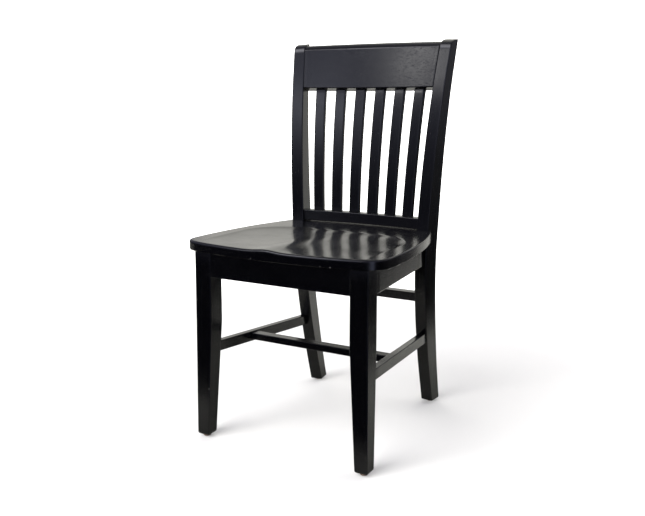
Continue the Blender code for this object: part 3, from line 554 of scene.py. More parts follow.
def board_vector(b: Bench, source: GrainSource) -> bpy.types.NodeSocket:
    """The board's own directions, the last one along the grain.

    Args:
        b: bench of the material.
        source: the piece's attribute, or an axis of the chair.

    Returns:
        A vector socket in metres.
    """
    if source is GrainSource.BOARD:
        return b.add("ShaderNodeAttribute", attribute_name="grain").outputs["Vector"]
    place = b.add("ShaderNodeTexCoord").outputs["Object"]
    parts = b.add("ShaderNodeSeparateXYZ", {0: place}).outputs
    order = (0, 2, 1) if source is GrainSource.ALONG_Y else (2, 1, 0)
    return b.add("ShaderNodeCombineXYZ", {n: parts[k] for n, k in enumerate(order)}).outputs[0]


@dataclass(frozen=True)
class Nick:
    """A small knock in the coat: its place in the chair's own frame, its radius and how pale it is."""

    place: tuple[float, float, float]
    radius: float
    tone: float

    def share(self, b: Bench, where: object) -> bpy.types.NodeSocket:
        """How much of the nick covers a spot, from 0 to 1."""
        x, y, z = self.place
        return b.span(b.apart(where, (x, y + SHIFT, z)), self.radius, self.radius * 0.4)


@dataclass(frozen=True)
class LacquerFinish:
    """Satin black lacquer sprayed over close-grained wood."""

    effects: SharedEffects
    seed: float = 0.0
    black: tuple[float, float, float] = (0.0001, 0.0001, 0.0003)
    lift: tuple[float, float, float] = (0.0003, 0.0003, 0.0006)
    wood: tuple[float, float, float] = (0.11, 0.060, 0.032)
    # Grey toward which arrises are lightened: partly worn satin, partly a painted highlight along each
    # rounded edge.
    rub_and_sheen: tuple[float, float, float] = (0.035, 0.03, 0.028)
    dust: tuple[float, float, float] = (0.3, 0.29, 0.27)
    dust_share: float = 0.04
    rough: float = 0.17
    wear_and_sheen: float = 0.6
    pore_depth: float = 0.000016
    dusty: float = 0.0
    nicks: tuple[Nick, ...] = ()
    source: GrainSource = GrainSource.BOARD

    def make(self, name: str) -> bpy.types.Material:
        """Builds the material.

        Args:
            name: name of the piece it is for.

        Returns:
            The material.
        """
        mat, b, shader = new_material(name)
        vector = board_vector(b, self.source)
        vector = b.plus(vector, (self.seed, self.seed * 0.7, self.seed * 1.3))
        place = b.add("ShaderNodeTexCoord").outputs["Object"]
        grain = b.add("ShaderNodeGroup", {"Board": vector}, node_tree=self.effects.grain)
        film = b.add("ShaderNodeGroup", {"Place": place}, node_tree=self.effects.film)
        arris = b.add("ShaderNodeAttribute", attribute_name="arris").outputs["Fac"]
        arris_inputs = {"Arris": arris, "Place": place, "Amount": self.wear_and_sheen}
        wear_and_sheen = b.add("ShaderNodeGroup", arris_inputs, node_tree=self.effects.wear_and_sheen)
        figure, streaks, pores = (grain.outputs[k] for k in ("Figure", "Streaks", "Pores"))
        shade = b.math("ADD", b.math("MULTIPLY", figure, 0.6), b.math("MULTIPLY", streaks, 0.4))
        colour = b.blend(shade, (*self.black, 1), (*self.lift, 1))
        dust = b.math("ADD", b.math("MULTIPLY", film.outputs["Dust"], self.dust_share), self.dusty)
        colour = b.blend(dust, colour, (*self.dust, 1))
        # Painted highlight mixed with worn satin: arrises are lightened toward that grey by their own mark.
        colour = b.blend(b.math("MULTIPLY", wear_and_sheen.outputs["Rub and sheen"], 0.3), colour, (*self.rub_and_sheen, 1))
        colour = b.blend(wear_and_sheen.outputs["Bare"], colour, (*self.wood, 1))
        for nick in self.nicks:
            colour = b.blend(nick.share(b, place), colour, (nick.tone, nick.tone * 0.97, nick.tone * 0.94, 1))
        rough = b.math("ADD", self.rough, b.math("MULTIPLY", film.outputs["Clouds"], 0.05))
        rough = b.math("ADD", rough, b.math("MULTIPLY", pores, 0.05))
        rough = b.math("ADD", rough, b.math("MULTIPLY", wear_and_sheen.outputs["Bare"], 0.3), clamp=True)
        relief = b.math("MULTIPLY", streaks, 0.22)
        relief = b.math("SUBTRACT", relief, b.math("MULTIPLY", pores, 0.8))
        relief = b.math("ADD", relief, b.math("MULTIPLY", film.outputs["Ripple"], 0.5))
        relief = b.math("SUBTRACT", relief, b.math("MULTIPLY", wear_and_sheen.outputs["Bare"], 1.2))
        bump = b.add("ShaderNodeBump", {"Strength": 1.0, "Distance": self.pore_depth, "Height": relief})
        b.link(shader, {"Base Color": colour, "Roughness": rough, "Normal": bump.outputs[0]})
        shader.inputs["IOR"].default_value = 1.5
        return mat


@dataclass(frozen=True)
class BeechFinish:
    """Bare beech: pale tan with fleck and a few sawn lines."""

    effects: SharedEffects
    pale: tuple[float, float, float] = (0.60, 0.41, 0.24)
    dark: tuple[float, float, float] = (0.40, 0.25, 0.13)
    source: GrainSource = GrainSource.ALONG_X

    def make(self, name: str) -> bpy.types.Material:
        """Builds the material."""
        mat, b, shader = new_material(name)
        board = board_vector(b, self.source)
        grain = b.add("ShaderNodeGroup", {"Board": board}, node_tree=self.effects.grain)
        figure, streaks, pores = (grain.outputs[k] for k in ("Figure", "Streaks", "Pores"))
        shade = b.math("ADD", b.math("MULTIPLY", figure, 0.5), b.math("MULTIPLY", streaks, 0.4))
        shade = b.math("ADD", shade, b.math("MULTIPLY", pores, 0.3), clamp=True)
        colour = b.blend(shade, (*self.pale, 1), (*self.dark, 1))
        rough = b.math("ADD", 0.58, b.math("MULTIPLY", streaks, 0.2))
        relief = b.math("SUBTRACT", streaks, pores)
        bump = b.add("ShaderNodeBump", {"Strength": 0.8, "Distance": 0.0002, "Height": relief})
        b.link(shader, {"Base Color": colour, "Roughness": rough, "Normal": bump.outputs[0]})
        return mat


@dataclass(frozen=True)
class NylonFinish:
    """Moulded brown nylon, scuffed where it slides."""

    effects: SharedEffects
    brown: tuple[float, float, float] = (0.075, 0.052, 0.038)
    scuffed: tuple[float, float, float] = (0.13, 0.10, 0.08)

    def make(self, name: str) -> bpy.types.Material:
        """Builds the material."""
        mat, b, shader = new_material(name)
        place = b.add("ShaderNodeTexCoord").outputs["Object"]
        film = b.add("ShaderNodeGroup", {"Place": place}, node_tree=self.effects.film)
        ripple = film.outputs["Ripple"]
        height = b.add("ShaderNodeSeparateXYZ", {0: place}).outputs["Z"]
        low = b.span(height, 0.0025, 0.0, 0.0, 1.0)
        scratches = b.noise(b.scaled(place, (260, 1900, 400)), 2, 0.6)
        share = b.math("MULTIPLY", low, b.span(scratches, 0.35, 0.65))
        colour = b.blend(share, (*self.brown, 1), (*self.scuffed, 1))
        rough = b.math("ADD", 0.42, b.math("MULTIPLY", share, 0.3))
        bump = b.add("ShaderNodeBump", {"Strength": 0.6, "Distance": 0.0001, "Height": ripple})
        b.link(shader, {"Base Color": colour, "Roughness": rough, "Normal": bump.outputs[0]})
        return mat


@dataclass(frozen=True)
class ZincFinish:
    """Bright zinc plate on turned steel."""

    effects: SharedEffects
    bright: tuple[float, float, float] = (0.66, 0.66, 0.62)
    dull: tuple[float, float, float] = (0.40, 0.40, 0.37)

    def make(self, name: str) -> bpy.types.Material:
        """Builds the material."""
        mat, b, shader = new_material(name)
        place = b.add("ShaderNodeTexCoord").outputs["Object"]
        patches = b.noise(b.scaled(place, (900, 900, 900)), 3, 0.6)
        share = b.span(patches, 0.35, 0.7)
        colour = b.blend(share, (*self.bright, 1), (*self.dull, 1))
        rough = b.math("ADD", 0.26, b.math("MULTIPLY", share, 0.2))
        b.link(shader, {"Base Color": colour, "Roughness": rough})
        shader.inputs["Metallic"].default_value = 1.0
        return mat


# Pieces


@dataclass
class FrontLegs:
    """The two front legs: square to the knee, then tapered and kicked slightly out."""

    layout: Layout
    effects: SharedEffects
    arris: float = 0.0017
    foot_round: float = 0.0065
    top_round: float = 0.0006
    nicks: tuple[Nick, ...] = (
        Nick((-0.1788, 0.0, 0.1157), 0.0020, 0.030),
        Nick((0.2035, 0.0, 0.1075), 0.0022, 0.004),
    )

    def corners(self, side: int) -> Array:
        """Corner lines of one leg.

        Args:
            side: -1 for the left leg and 1 for the right one.

        Returns:
            Stations, from the foot to the top, by four corners by 3.
        """
        lay = self.layout
        foot = [lay.glide_high, lay.glide_high + 0.009]
        taper = np.linspace(0.03, lay.leg_knee, 9)
        square = np.linspace(lay.leg_knee + 0.02, lay.underside - lay.gap, 6)
        z = np.concatenate([foot, taper, square])
        deep = lay.leg_deep(z)
        outer = side * lay.leg_outer(z)
        inner = outer - side * deep
        zero = np.zeros_like(z)
        lines = [(outer, zero), (outer, deep), (inner, deep), (inner, zero)]
        return np.stack([np.stack([x, y, z], -1) for x, y in lines], 1)

    def build(self) -> None:
        """Makes and dresses both legs."""
        radii, ends = np.full(4, self.arris), (self.foot_round, self.top_round)
        for side, tag in ((-1, "left"), (1, "right")):
            piece = Bar(f"front_leg_{tag}_turned_out", self.corners(side), radii, ends).make()
            finish = LacquerFinish(self.effects, seed=3.1 + side, nicks=self.nicks)
            stand_for(piece, f"front_leg_{tag}", Slot.LACQUER, finish.make(f"front leg {tag} lacquer"))


@dataclass
class BackPosts:
    """The two sawn back posts, turned and canted, crowned at the top."""

    layout: Layout
    effects: SharedEffects
    arris: float = 0.0021
    top_arris: float = 0.0034
    drop: float = 0.0131
    ends: tuple[float, float] = (0.0034, 0.0022)
    crown: Course = Course((
        (0.0, 0.0), (0.0060, 0.0062), (0.0120, 0.0097), (0.0195, 0.0119), (0.0303, 0.0131),
    ))

    def corners(self, side: int) -> Array:
        """Corner lines of one post, in the chair's frame.

        Args:
            side: -1 for the left post and 1 for the right one.

        Returns:
            Stations, from the foot to the top, by four corners by 3.
        """
        lay = self.layout
        axes, foot = lay.post_axes(side)
        cos_c, sin_c = math.cos(lay.post_cant), math.sin(side * lay.post_cant)
        x = np.array([0.0, -side * lay.post_thick])
        floor = (lay.glide_high + sin_c * x) / cos_c
        top = (lay.height - self.drop) / cos_c
        s = np.concatenate([[0, 0.004], np.linspace(0.02, 0.96, 48), [0.985, 1.0]])[:, None]
        along = floor[None] + (top - floor[None]) * s
        front = lay.post_face(along)
        back = front + lay.post_depth.at(along * cos_c)
        deep = float(lay.post_depth.at(lay.height))
        rise = (lay.post_face(top) - lay.post_face(top - 0.02)) / 0.02
        over = np.linspace(0, 0.0225, 9)[1:]
        lift = self.crown.at(over)
        crown_y = lay.post_face(top) + over + rise * lift
        crown_z = top + lift
        tip = np.array([lay.post_face(top) + deep + rise * self.drop, lay.height / cos_c])
        t = np.linspace(0, 1, 9)[1:]
        back_y = back[-1, 0] + (tip[0] - back[-1, 0]) * t
        back_z = top + (tip[1] - top) * t
        lines = []
        for col, rear in ((0, False), (1, False), (1, True), (0, True)):
            y = np.concatenate([(back if rear else front)[:, col], back_y if rear else crown_y])
            z = np.concatenate([along[:, col], back_z if rear else crown_z])
            local = np.stack([np.full_like(y, x[col]), y, z], -1)
            lines.append(local @ axes.T + foot)
        return np.stack(lines, 1)

    def build(self) -> None:
        """Makes and dresses both posts."""
        for side, tag in ((-1, "left"), (1, "right")):
            corners = self.corners(side)
            radii = np.full(corners.shape[:2], self.arris)
            near_top = np.clip((corners[:, 0, 2] - (self.layout.height - 0.03)) / 0.02, 0, 1)
            radii[:, 0] += (self.top_arris - self.arris) * near_top
            piece = Bar(f"back_post_{tag}_sawn", corners, radii, self.ends).make()
            finish = LacquerFinish(self.effects, seed=11.7 + side * 2)
            stand_for(piece, f"back_post_{tag}", Slot.LACQUER, finish.make(f"back post {tag} lacquer"))


@dataclass
class Back:
    """Crest rail, lower rail and the fan of slats between them."""

    layout: Layout
    effects: SharedEffects
    crest_bottom: float = 0.7793
    crest_arris: float = 0.8738
    crest_top: float = 0.8850
    crest_thick: float = 0.028
    crest_hang: float = 0.0025
    crest_setback: float = 0.0045
    crest_bow: float = 0.0160
    crest_crown: float = 0.0024
    rail_rise: float = 0.0015
    rail_high: float = 0.0258
    rail_thick: float = 0.028
    rail_setback: float = 0.0075
    rail_bow: float = 0.0110
    slat_count: int = 6
    slat_wide: float = 0.0264
    slat_thick: float = 0.0128
    slat_shift: float = 0.0012
    slat_arris: float = 0.0024
    slat_ends: tuple[float, float] = (0.0003, 0.0003)
    pitch_low: float = 0.0480
    pitch_high: float = 0.0532
    inset_low: float = 0.0064
    inset_high: float = 0.0092
    over: Course = Course(((0.0, 0.0), (0.2, 0.52), (0.42, 0.83), (0.66, 0.97), (1.0, 1.0)))

    def half_back(self, z: float) -> float:
        """Half-width between the posts at a height."""
        y = float(self.layout.post_front.at(z))
        line = lambda x: np.stack([x, np.full_like(x, y), np.full_like(x, z)], -1)
        return float(self.layout.meet_post(line, np.array([0.15]))[0])

    @property
    def lean(self) -> float:
        """Backward lean of the crest rail."""
        run = self.layout.post_front.at(self.crest_arris) - self.layout.post_front.at(self.crest_bottom)
        return math.atan(float(run) / (self.crest_arris - self.crest_bottom))

    @property
    def under(self) -> tuple[float, float]:
        """Run and fall of the crest's underside, whose back edge hangs below square."""
        run = self.crest_thick * math.cos(self.lean) - self.crest_hang * math.sin(self.lean)
        return run, self.crest_thick * math.sin(self.lean) + self.crest_hang * math.cos(self.lean)

    def crest_front(self, x: Array, z: Array) -> Array:
        """Bowed front of the crest: deepest in the middle by bow * (1 - (x / half-width) squared)."""
        half = self.half_back(self.crest_bottom)
        return self.layout.post_front.at(z) + self.crest_setback + self.crest_bow * (1 - (x / half) ** 2)

    def rail_front(self, x: Array) -> Array:
        """Bowed front of the lower rail."""
        z = self.rail_bottom + self.rail_high / 2
        half = self.half_back(z)
        return self.layout.post_front.at(z) + self.rail_setback + self.rail_bow * (1 - (x / half) ** 2)

    @property
    def rail_bottom(self) -> float:
        """Height of the lower rail's underside."""
        return self.layout.seat_top + self.rail_rise

    def crest_points(self, x: Array) -> Array:
        """Section of the crest: front edge, crown over the top in eight steps, back edge.

        Args:
            x: half-width of each of the twelve corners.

        Returns:
            The twelve corners.
        """
        rise = 1 - (x / self.half_back(self.crest_bottom)) ** 2
        bottom = self.crest_bottom - 0.0012 * rise
        arris = self.crest_arris + 0.5 * self.crest_crown * rise
        top = self.crest_top + self.crest_crown * rise
        lean = self.lean
        base = np.stack([x, self.crest_front(x, bottom), bottom], -1)
        upper = np.stack([x, self.crest_front(x, arris), arris], -1)
        inwards = np.array([0, math.cos(lean), -math.sin(lean)]) * self.crest_thick
        upwards = np.array([0, math.sin(lean), math.cos(lean)])
        span = (top - arris) / math.cos(lean) + self.crest_thick * math.tan(lean) * 0.75
        a = np.concatenate([[0, 0], np.linspace(0.08, 0.86, 8), [1, 0]])
        lift = self.over.at(a) * np.concatenate([[0, 0], np.ones(9), [0]])
        start = np.where(np.arange(12)[:, None] == 0, base, upper)
        points = start + a[:, None] * inwards + (lift * span)[:, None] * upwards
        run, fall = self.under
        points[11] = base[11] + np.array([0, run, -fall])
        return points

    def crest(self) -> None:
        """Makes the crest rail."""
        limits = self.layout.meet_post(self.crest_points, np.full(12, 0.15))
        rows = [self.crest_points(s * limits) for s in np.linspace(-1, 1, 41)]
        radii = np.array([0.0018, 0.0020, 0, 0, 0, 0, 0, 0, 0, 0, 0.0026, 0.0013])
        piece = Bar("crest_rail_bowed", np.stack(rows), radii, (0.0005, 0.0005)).make()
        finish = LacquerFinish(self.effects, seed=23.0, pore_depth=0.00004)
        stand_for(piece, "crest_rail", Slot.LACQUER, finish.make("crest rail lacquer"))

    def rail(self) -> None:
        """Makes the lower rail."""
        low, high = self.rail_bottom, self.rail_bottom + self.rail_high
        z = np.array([low, high, high, low])
        deep = np.array([0, 0, 1, 1]) * self.rail_thick

        def line(x: Array) -> Array:
            """Corner lines of the rail."""
            return np.stack([x, self.rail_front(x) + deep, z], -1)

        limits = self.layout.meet_post(line, np.full(4, 0.15))
        rows = np.stack([line(s * limits) for s in np.linspace(-1, 1, 33)])
        piece = Bar("lower_back_rail_bowed", rows, np.full(4, 0.0017)).make()
        finish = LacquerFinish(self.effects, seed=29.0)
        stand_for(piece, "lower_back_rail", Slot.LACQUER, finish.make("lower back rail lacquer"))

    def slat_corners(self, index: int) -> Array:
        """Corner lines of one slat, from the lower rail up to the crest's underside.

        Args:
            index: number of the slat, counted from 0 at the left.

        Returns:
            Stations by four corners by 3.
        """
        lay = self.layout
        spot = index - (self.slat_count - 1) / 2
        low, high = self.rail_bottom + self.rail_high + lay.gap, self.crest_bottom
        x_low, x_high = spot * self.pitch_low + self.slat_shift, spot * self.pitch_high + self.slat_shift
        rail = float(self.rail_front(np.array(x_low)))
        crest = float(self.crest_front(np.array(x_high), np.array(high)))
        y_low = rail - float(lay.post_front.at(self.rail_bottom + self.rail_high / 2)) + self.inset_low
        y_high = crest - float(lay.post_front.at(high)) + self.inset_high
        turn = math.atan(2 * self.crest_bow * x_high / self.half_back(self.crest_bottom) ** 2)
        cos_t, sin_t = math.cos(turn), math.sin(turn)
        across = np.array([-1, -1, 1, 1]) * self.slat_wide / 2
        deep = np.array([0, 1, 1, 0]) * self.slat_thick

        def corner(z: Array) -> Array:
            """The four corners at their heights."""
            t = (z - low) / (high - low)
            x = x_low + (x_high - x_low) * t + across * cos_t + deep * sin_t
            y = lay.post_front.at(z) + y_low + (y_high - y_low) * t - across * sin_t + deep * cos_t
            return np.stack([x, y, z], -1)

        top = np.full(4, high)
        for _ in range(10):
            point = corner(top)
            under = self.crest_bottom - 0.0012 * (1 - (point[:, 0] / self.half_back(self.crest_bottom)) ** 2)
            front = self.crest_front(point[:, 0], under)
            top = under - (point[:, 1] - front) * self.under[1] / self.under[0] - lay.gap
        return np.stack([corner(low + (top - low) * s) for s in np.linspace(0, 1, 29)])

    def build(self) -> None:
        """Makes the whole back between the posts."""
        self.crest()
        self.rail()
        for index in range(self.slat_count):
            corners, radii = self.slat_corners(index), np.full(4, self.slat_arris)
            piece = Bar(f"slat_{index + 1}_bent", corners, radii, self.slat_ends).make()
            finish = LacquerFinish(self.effects, seed=31.0 + 1.9 * index)
            stand_for(piece, f"slat_{index + 1}", Slot.LACQUER, finish.make(f"slat {index + 1} lacquer"))


@dataclass
class Underframe:
    """Aprons and stretchers."""

    layout: Layout
    effects: SharedEffects
    arris: float = 0.0015
    apron_thick: float = 0.020
    side_apron_thick: float = 0.019
    front_bottom: float = 0.3685
    side_bottom: float = 0.3646
    front_setback: float = 0.0008
    rear_apron_y: float = 0.3840
    stretcher_thick: float = 0.016
    stretcher_top: float = 0.2138
    stretcher_high: float = 0.0240
    stretcher_fall: float = 0.053
    cross_y: float = 0.1649
    cross_deep: float = 0.0230
    cross_top: float = 0.2018
    cross_high: float = 0.0162
    rear_y: float = 0.3924
    rear_deep: float = 0.0240
    rear_top: float = 0.2894
    rear_high: float = 0.0212
    rear_dust: float = 0.02

    def dress(self, node: str, rows: Array, seed: float, dusty: float = 0.0) -> None:
        """Makes a bar from its corner lines and puts it in a node's place."""
        piece = Bar(f"{node}_planed", rows, np.full(4, self.arris)).make()
        finish = LacquerFinish(self.effects, seed=seed, dusty=dusty)
        stand_for(piece, node, Slot.LACQUER, finish.make(f"{node} lacquer"))

    def across(self, x: Array, y: Array, z: Array) -> Array:
        """Stations of a level bar that is symmetric about the middle."""
        return np.stack([np.stack([s * x, y, z], -1) for s in np.linspace(-1, 1, 9)])

    def between_posts(self, near: float, far: float, low: float, high: float) -> Array:
        """Stations of a level bar between the posts.

        Args:
            near: depth of its front.
            far: depth of its back.
            low: height of its underside.
            high: height of its top.

        Returns:
            Stations by four corners by 3.
        """
        y = np.array([near, near, far, far])
        z = np.array([low, high, high, low])
        x = self.layout.meet_post(lambda v: np.stack([v, y, z], -1), np.full(4, 0.15))
        return self.across(x, y, z)

    def along_side(self, side: int, thick: float, top: float, high: float, fall: float) -> Array:
        """Stations of a bar from a front leg back to a post.

        Args:
            side: -1 for the left side and 1 for the right one.
            thick: thickness of the bar.
            top: height of its top at the front of the legs.
            high: height of its section.
            fall: how far it falls for each metre towards the back.

        Returns:
            Stations by four corners by 3.
        """
        lay = self.layout
        cross = thick / math.cos(math.atan(lay.side_taper))
        inset = np.array([0, 0, 1, 1]) * cross
        drop = np.array([1, 0, 0, 1]) * high
        near = np.full(4, lay.leg_size)
        far = np.full(4, lay.post_base)
        for _ in range(8):
            near = lay.leg_deep(top - fall * near - drop) + lay.gap
        for _ in range(8):
            x = side * (lay.side_line - lay.side_taper * far - inset)
            far = lay.before_post(side, x, top - fall * far - drop)
        rows = []
        for s in np.linspace(0, 1, 11):
            y = near + (far - near) * s
            x = side * (lay.side_line - lay.side_taper * y - inset)
            rows.append(np.stack([x, y, top - fall * y - drop], -1))
        return np.stack(rows)

    def build(self) -> None:
        """Makes every apron and stretcher."""
        lay = self.layout
        top = lay.underside - lay.gap
        end = np.full(4, lay.leg_spread / 2 - lay.leg_size - lay.gap)
        near, far = self.front_setback, self.front_setback + self.apron_thick
        y = np.array([near, near, far, far])
        z = np.array([self.front_bottom, top, top, self.front_bottom])
        self.dress("front_apron", self.across(end, y, z), 41.0)
        near, far = self.rear_apron_y, self.rear_apron_y + self.apron_thick
        self.dress("rear_apron", self.between_posts(near, far, self.side_bottom, top), 43.0)
        near, far, low = self.rear_y, self.rear_y + self.rear_deep, self.rear_top - self.rear_high
        self.dress("rear_stretcher", self.between_posts(near, far, low, self.rear_top), 45.0, self.rear_dust)
        for side, tag in ((-1, "left"), (1, "right")):
            apron = self.along_side(side, self.side_apron_thick, top, top - self.side_bottom, 0)
            self.dress(f"side_apron_{tag}", apron, 47.0 + side)
            bar = self.along_side(
                side, self.stretcher_thick, self.stretcher_top, self.stretcher_high, self.stretcher_fall
            )
            self.dress(f"side_stretcher_{tag}", bar, 51.0 + side)
        y = np.array([0, 0, 1, 1]) * self.cross_deep + self.cross_y
        z = self.cross_top - np.array([1, 0, 0, 1]) * self.cross_high
        reach = self.stretcher_thick / math.cos(math.atan(lay.side_taper)) + lay.gap
        self.dress("cross_stretcher", self.across(lay.side_line - lay.side_taper * y - reach, y, z), 55.0)


@dataclass
class Seat:
    """The scooped seat, notched round the posts."""

    layout: Layout
    effects: SharedEffects
    front: float = -0.0283
    bow: float = 0.514
    corner: float = 0.198
    rear: float = 0.4115
    heart: float = 0.195
    round_side: float = 0.0028
    round_front: float = 0.0055
    bevel: float = 0.0022
    hollow: tuple[float, float, float] = (0.205, 0.277, 0.105)
    hollow_slope: float = 0.29
    hollow_reach: tuple[float, float] = (0.014, 0.0028)
    hollow_front: float = 0.12
    opening: tuple[float, float] = (-0.03, 0.15)
    lobe_depth: float = 0.0024
    lobe_place: tuple[float, float] = (0.095, 0.175)
    lobe_reach: tuple[float, float] = (0.092, 0.15)
    ridge_height: float = 0.0036
    ridge: tuple[float, float] = (-0.012, 0.030)
    ridge_end: tuple[float, float] = (0.20, 0.15)
    notch_slack: float = 0.0008
    notch_deep: float = 0.09
    nicks: tuple[Nick, ...] = (
        Nick((-0.0453, -0.0273, 0.4278), 0.0018, 0.020),
        Nick((0.1150, -0.0215, 0.4268), 0.0014, 0.022),
        Nick((0.1361, -0.0188, 0.4258), 0.0020, 0.050),
    )
    side: Course = Course((
        (0.040, 0.2404), (0.060, 0.2410), (0.101, 0.2396), (0.152, 0.2364), (0.202, 0.2313),
        (0.253, 0.2233), (0.303, 0.2118), (0.349, 0.1985), (0.3676, 0.1918), (0.385, 0.1845),
    ))

    def outline(self) -> Array:
        """Plan outline, round from the middle of the front edge.

        The front is a shallow bow, the corner a cubic curve tangent to it and to the side.
        """
        x = np.linspace(0, self.corner, 34)
        front = np.stack([x, self.front + self.bow * x**2], -1)
        a, d = front[-1], np.array([self.side.stations[0][1], self.side.stations[0][0]])
        reach = np.linalg.norm(d - a) * 0.45
        b = a + unit(np.array([1, 2 * self.bow * self.corner])) * reach
        c = d - np.array([0, 1.0]) * reach
        t = np.linspace(0, 1, 22)[1:-1, None]
        corner = a * (1 - t) ** 3 + 3 * b * (1 - t) ** 2 * t + 3 * c * (1 - t) * t**2 + d * t**3
        y = np.linspace(self.side.stations[0][0], self.side.stations[-1][0], 60)
        side = np.stack([self.side.at(y), y], -1)
        tail = np.array([
            [0.1820, 0.3905], [0.1795, 0.3960], [0.1778, 0.4015], [0.1755, 0.4068], [0.1710, self.rear],
        ])
        x = np.linspace(0.160, 0.0, 24)
        rear = np.stack([x, np.full_like(x, self.rear)], -1)
        half = np.concatenate([front, corner, side, tail, rear])
        return np.concatenate([half, half[-2:0:-1] * np.array([-1, 1])])

    def height(self, x: Array, y: Array) -> Array:
        """Top surface: a hollow open to the front, a lobe under each thigh, and a ridge between them.

        The hollow falls from its rounded rim at a slope s (1 - exp(-d / b)) exp(-d / a), d inside the rim.

        Args:
            x: places across the seat.
            y: places back from the front legs' faces.

        Returns:
            The heights there.
        """
        half, back, corner = self.hollow
        across, along = np.abs(x) - (half - corner), y - (back - corner)
        outside = np.hypot(np.maximum(across, 0), np.maximum(along, 0))
        reach = outside + np.minimum(np.maximum(across, along), 0)
        d = np.maximum(0, corner - reach)
        a, b = self.hollow_reach
        c = a * b / (a + b)
        fall = self.hollow_slope * (a * (1 - np.exp(-d / a)) - c * (1 - np.exp(-d / c)))
        opened = np.clip((y - self.opening[0]) / self.opening[1], 0, 1)
        fall = fall * (self.hollow_front + (1 - self.hollow_front) * opened**2 * (3 - 2 * opened))
        z = self.layout.seat_top - fall
        (aside, behind), (broad, long) = self.lobe_place, self.lobe_reach
        for side in (-1, 1):
            lobe = np.maximum(0, 1 - ((x - side * aside) / broad) ** 2 - ((y - behind) / long) ** 2)
            z = z - self.lobe_depth * lobe**2
        middle, wide = self.ridge
        end, soft = self.ridge_end
        fade = np.clip((end - y) / soft, 0, 1)
        return z + self.ridge_height * np.exp(-(((x - middle) / wide) ** 2)) * fade**2 * (3 - 2 * fade)

    def rings(self) -> tuple[Array, Array]:
        """Rings of the seat from its underside, over the rounded edge and in to the middle.

        Returns:
            The rings, and how much of an arris each point is.
        """
        lay = self.layout
        plan = self.outline()
        way = unit(np.roll(plan, -1, 0) - np.roll(plan, 1, 0))
        inward = np.stack([-way[:, 1], way[:, 0]], -1)
        frontness = np.clip(inward[:, 1], 0, 1) ** 2
        r = self.round_side + (self.round_front - self.round_side) * frontness
        rows, edge = [], []

        def add(amount: Array, z: Array, mark: float) -> None:
            """Adds a ring drawn in by an amount at a height."""
            ring = plan + inward * np.broadcast_to(amount, plan.shape[:1])[:, None]
            rows.append(np.concatenate([ring, np.broadcast_to(z, ring.shape[:1])[:, None]], 1))
            edge.append(np.full(len(plan), mark))

        low, top = lay.underside, lay.seat_top
        core = np.array([0, self.heart])
        for share in (0.90, 0.985):
            ring = core + (plan + inward * self.bevel - core) * share
            rows.append(np.concatenate([ring, np.full((len(ring), 1), low)], 1))
            edge.append(np.zeros(len(plan)))
        for amount, z, mark in ((self.bevel, low, 0.3), (self.bevel * 0.9, low + 0.0001, 0.3),
                                (self.bevel * 0.1, low + self.bevel - 0.0001, 0.3),
                                (0.0, low + self.bevel, 0.3), (0.0, low + self.bevel + 0.001, 0)):
            add(amount, z, mark)
        add(0.0, top - r - 0.0008, 0)
        crown = self.height(plan[:, 0], plan[:, 1])
        for t in np.linspace(0, math.pi / 2, 8):
            add(r * (1 - math.cos(t)), crown - r * (1 - math.sin(t)), 0.25 + 0.75 * math.sin(2 * t))
        rim = rows[-1][:, :2]
        for share in np.concatenate([[0.988], np.linspace(0.97, 0.04, 90)]):
            ring = core + (rim - core) * share
            z = self.height(ring[:, 0], ring[:, 1])
            rows.append(np.concatenate([ring, z[:, None]], 1))
            edge.append(np.zeros(len(plan)))
        return np.stack(rows), np.stack(edge)

    def notch(self, side: int) -> bpy.types.Object:
        """Cutter that fits the seat round a post.

        Args:
            side: -1 for the left post and 1 for the right one.

        Returns:
            The cutter.
        """
        lay = self.layout
        axes, foot = lay.post_axes(side)
        face = float(lay.post_face(np.array((lay.underside + lay.seat_top) / 2))) - self.notch_slack
        back = face + self.notch_deep
        inner, outer = -side * (lay.post_thick + lay.gap), side * lay.gap
        rows = []
        for z in (lay.underside - 0.03, lay.underside - 0.01, lay.seat_top + 0.03):
            flat = np.array([[inner, face, z], [outer, face, z], [outer, back, z], [inner, back, z]])
            rows.append(flat @ axes.T + foot)
        grid = np.stack(rows)
        return surface(f"notch_{side}", grid, grid, np.zeros(grid.shape[:2]))

    def build(self) -> None:
        """Makes the seat and cuts its notches."""
        grid, edge = self.rings()
        piece = surface("seat_scooped", grid, grid[..., [0, 2, 1]], edge)
        cutters = [self.notch(side) for side in (-1, 1)]
        for cutter in cutters:
            cut = piece.modifiers.new(cutter.name, "BOOLEAN")
            cut.operation = "DIFFERENCE"
            cut.solver = "EXACT"
            cut.object = cutter
        bpy.context.view_layer.update()
        depsgraph = bpy.context.evaluated_depsgraph_get()
        mesh = bpy.data.meshes.new_from_object(piece.evaluated_get(depsgraph))
        piece.modifiers.clear()
        piece.data = mesh
        mesh.name = "seat_scooped"
        for cutter in cutters:
            bpy.data.objects.remove(cutter, do_unlink=True)
        mesh.shade_smooth()
        mesh.set_sharp_from_angle(angle=math.radians(38))
        finish = LacquerFinish(self.effects, seed=7.0, source=GrainSource.ALONG_Y, nicks=self.nicks)
        stand_for(piece, "seat", Slot.LACQUER, finish.make("seat lacquer"))


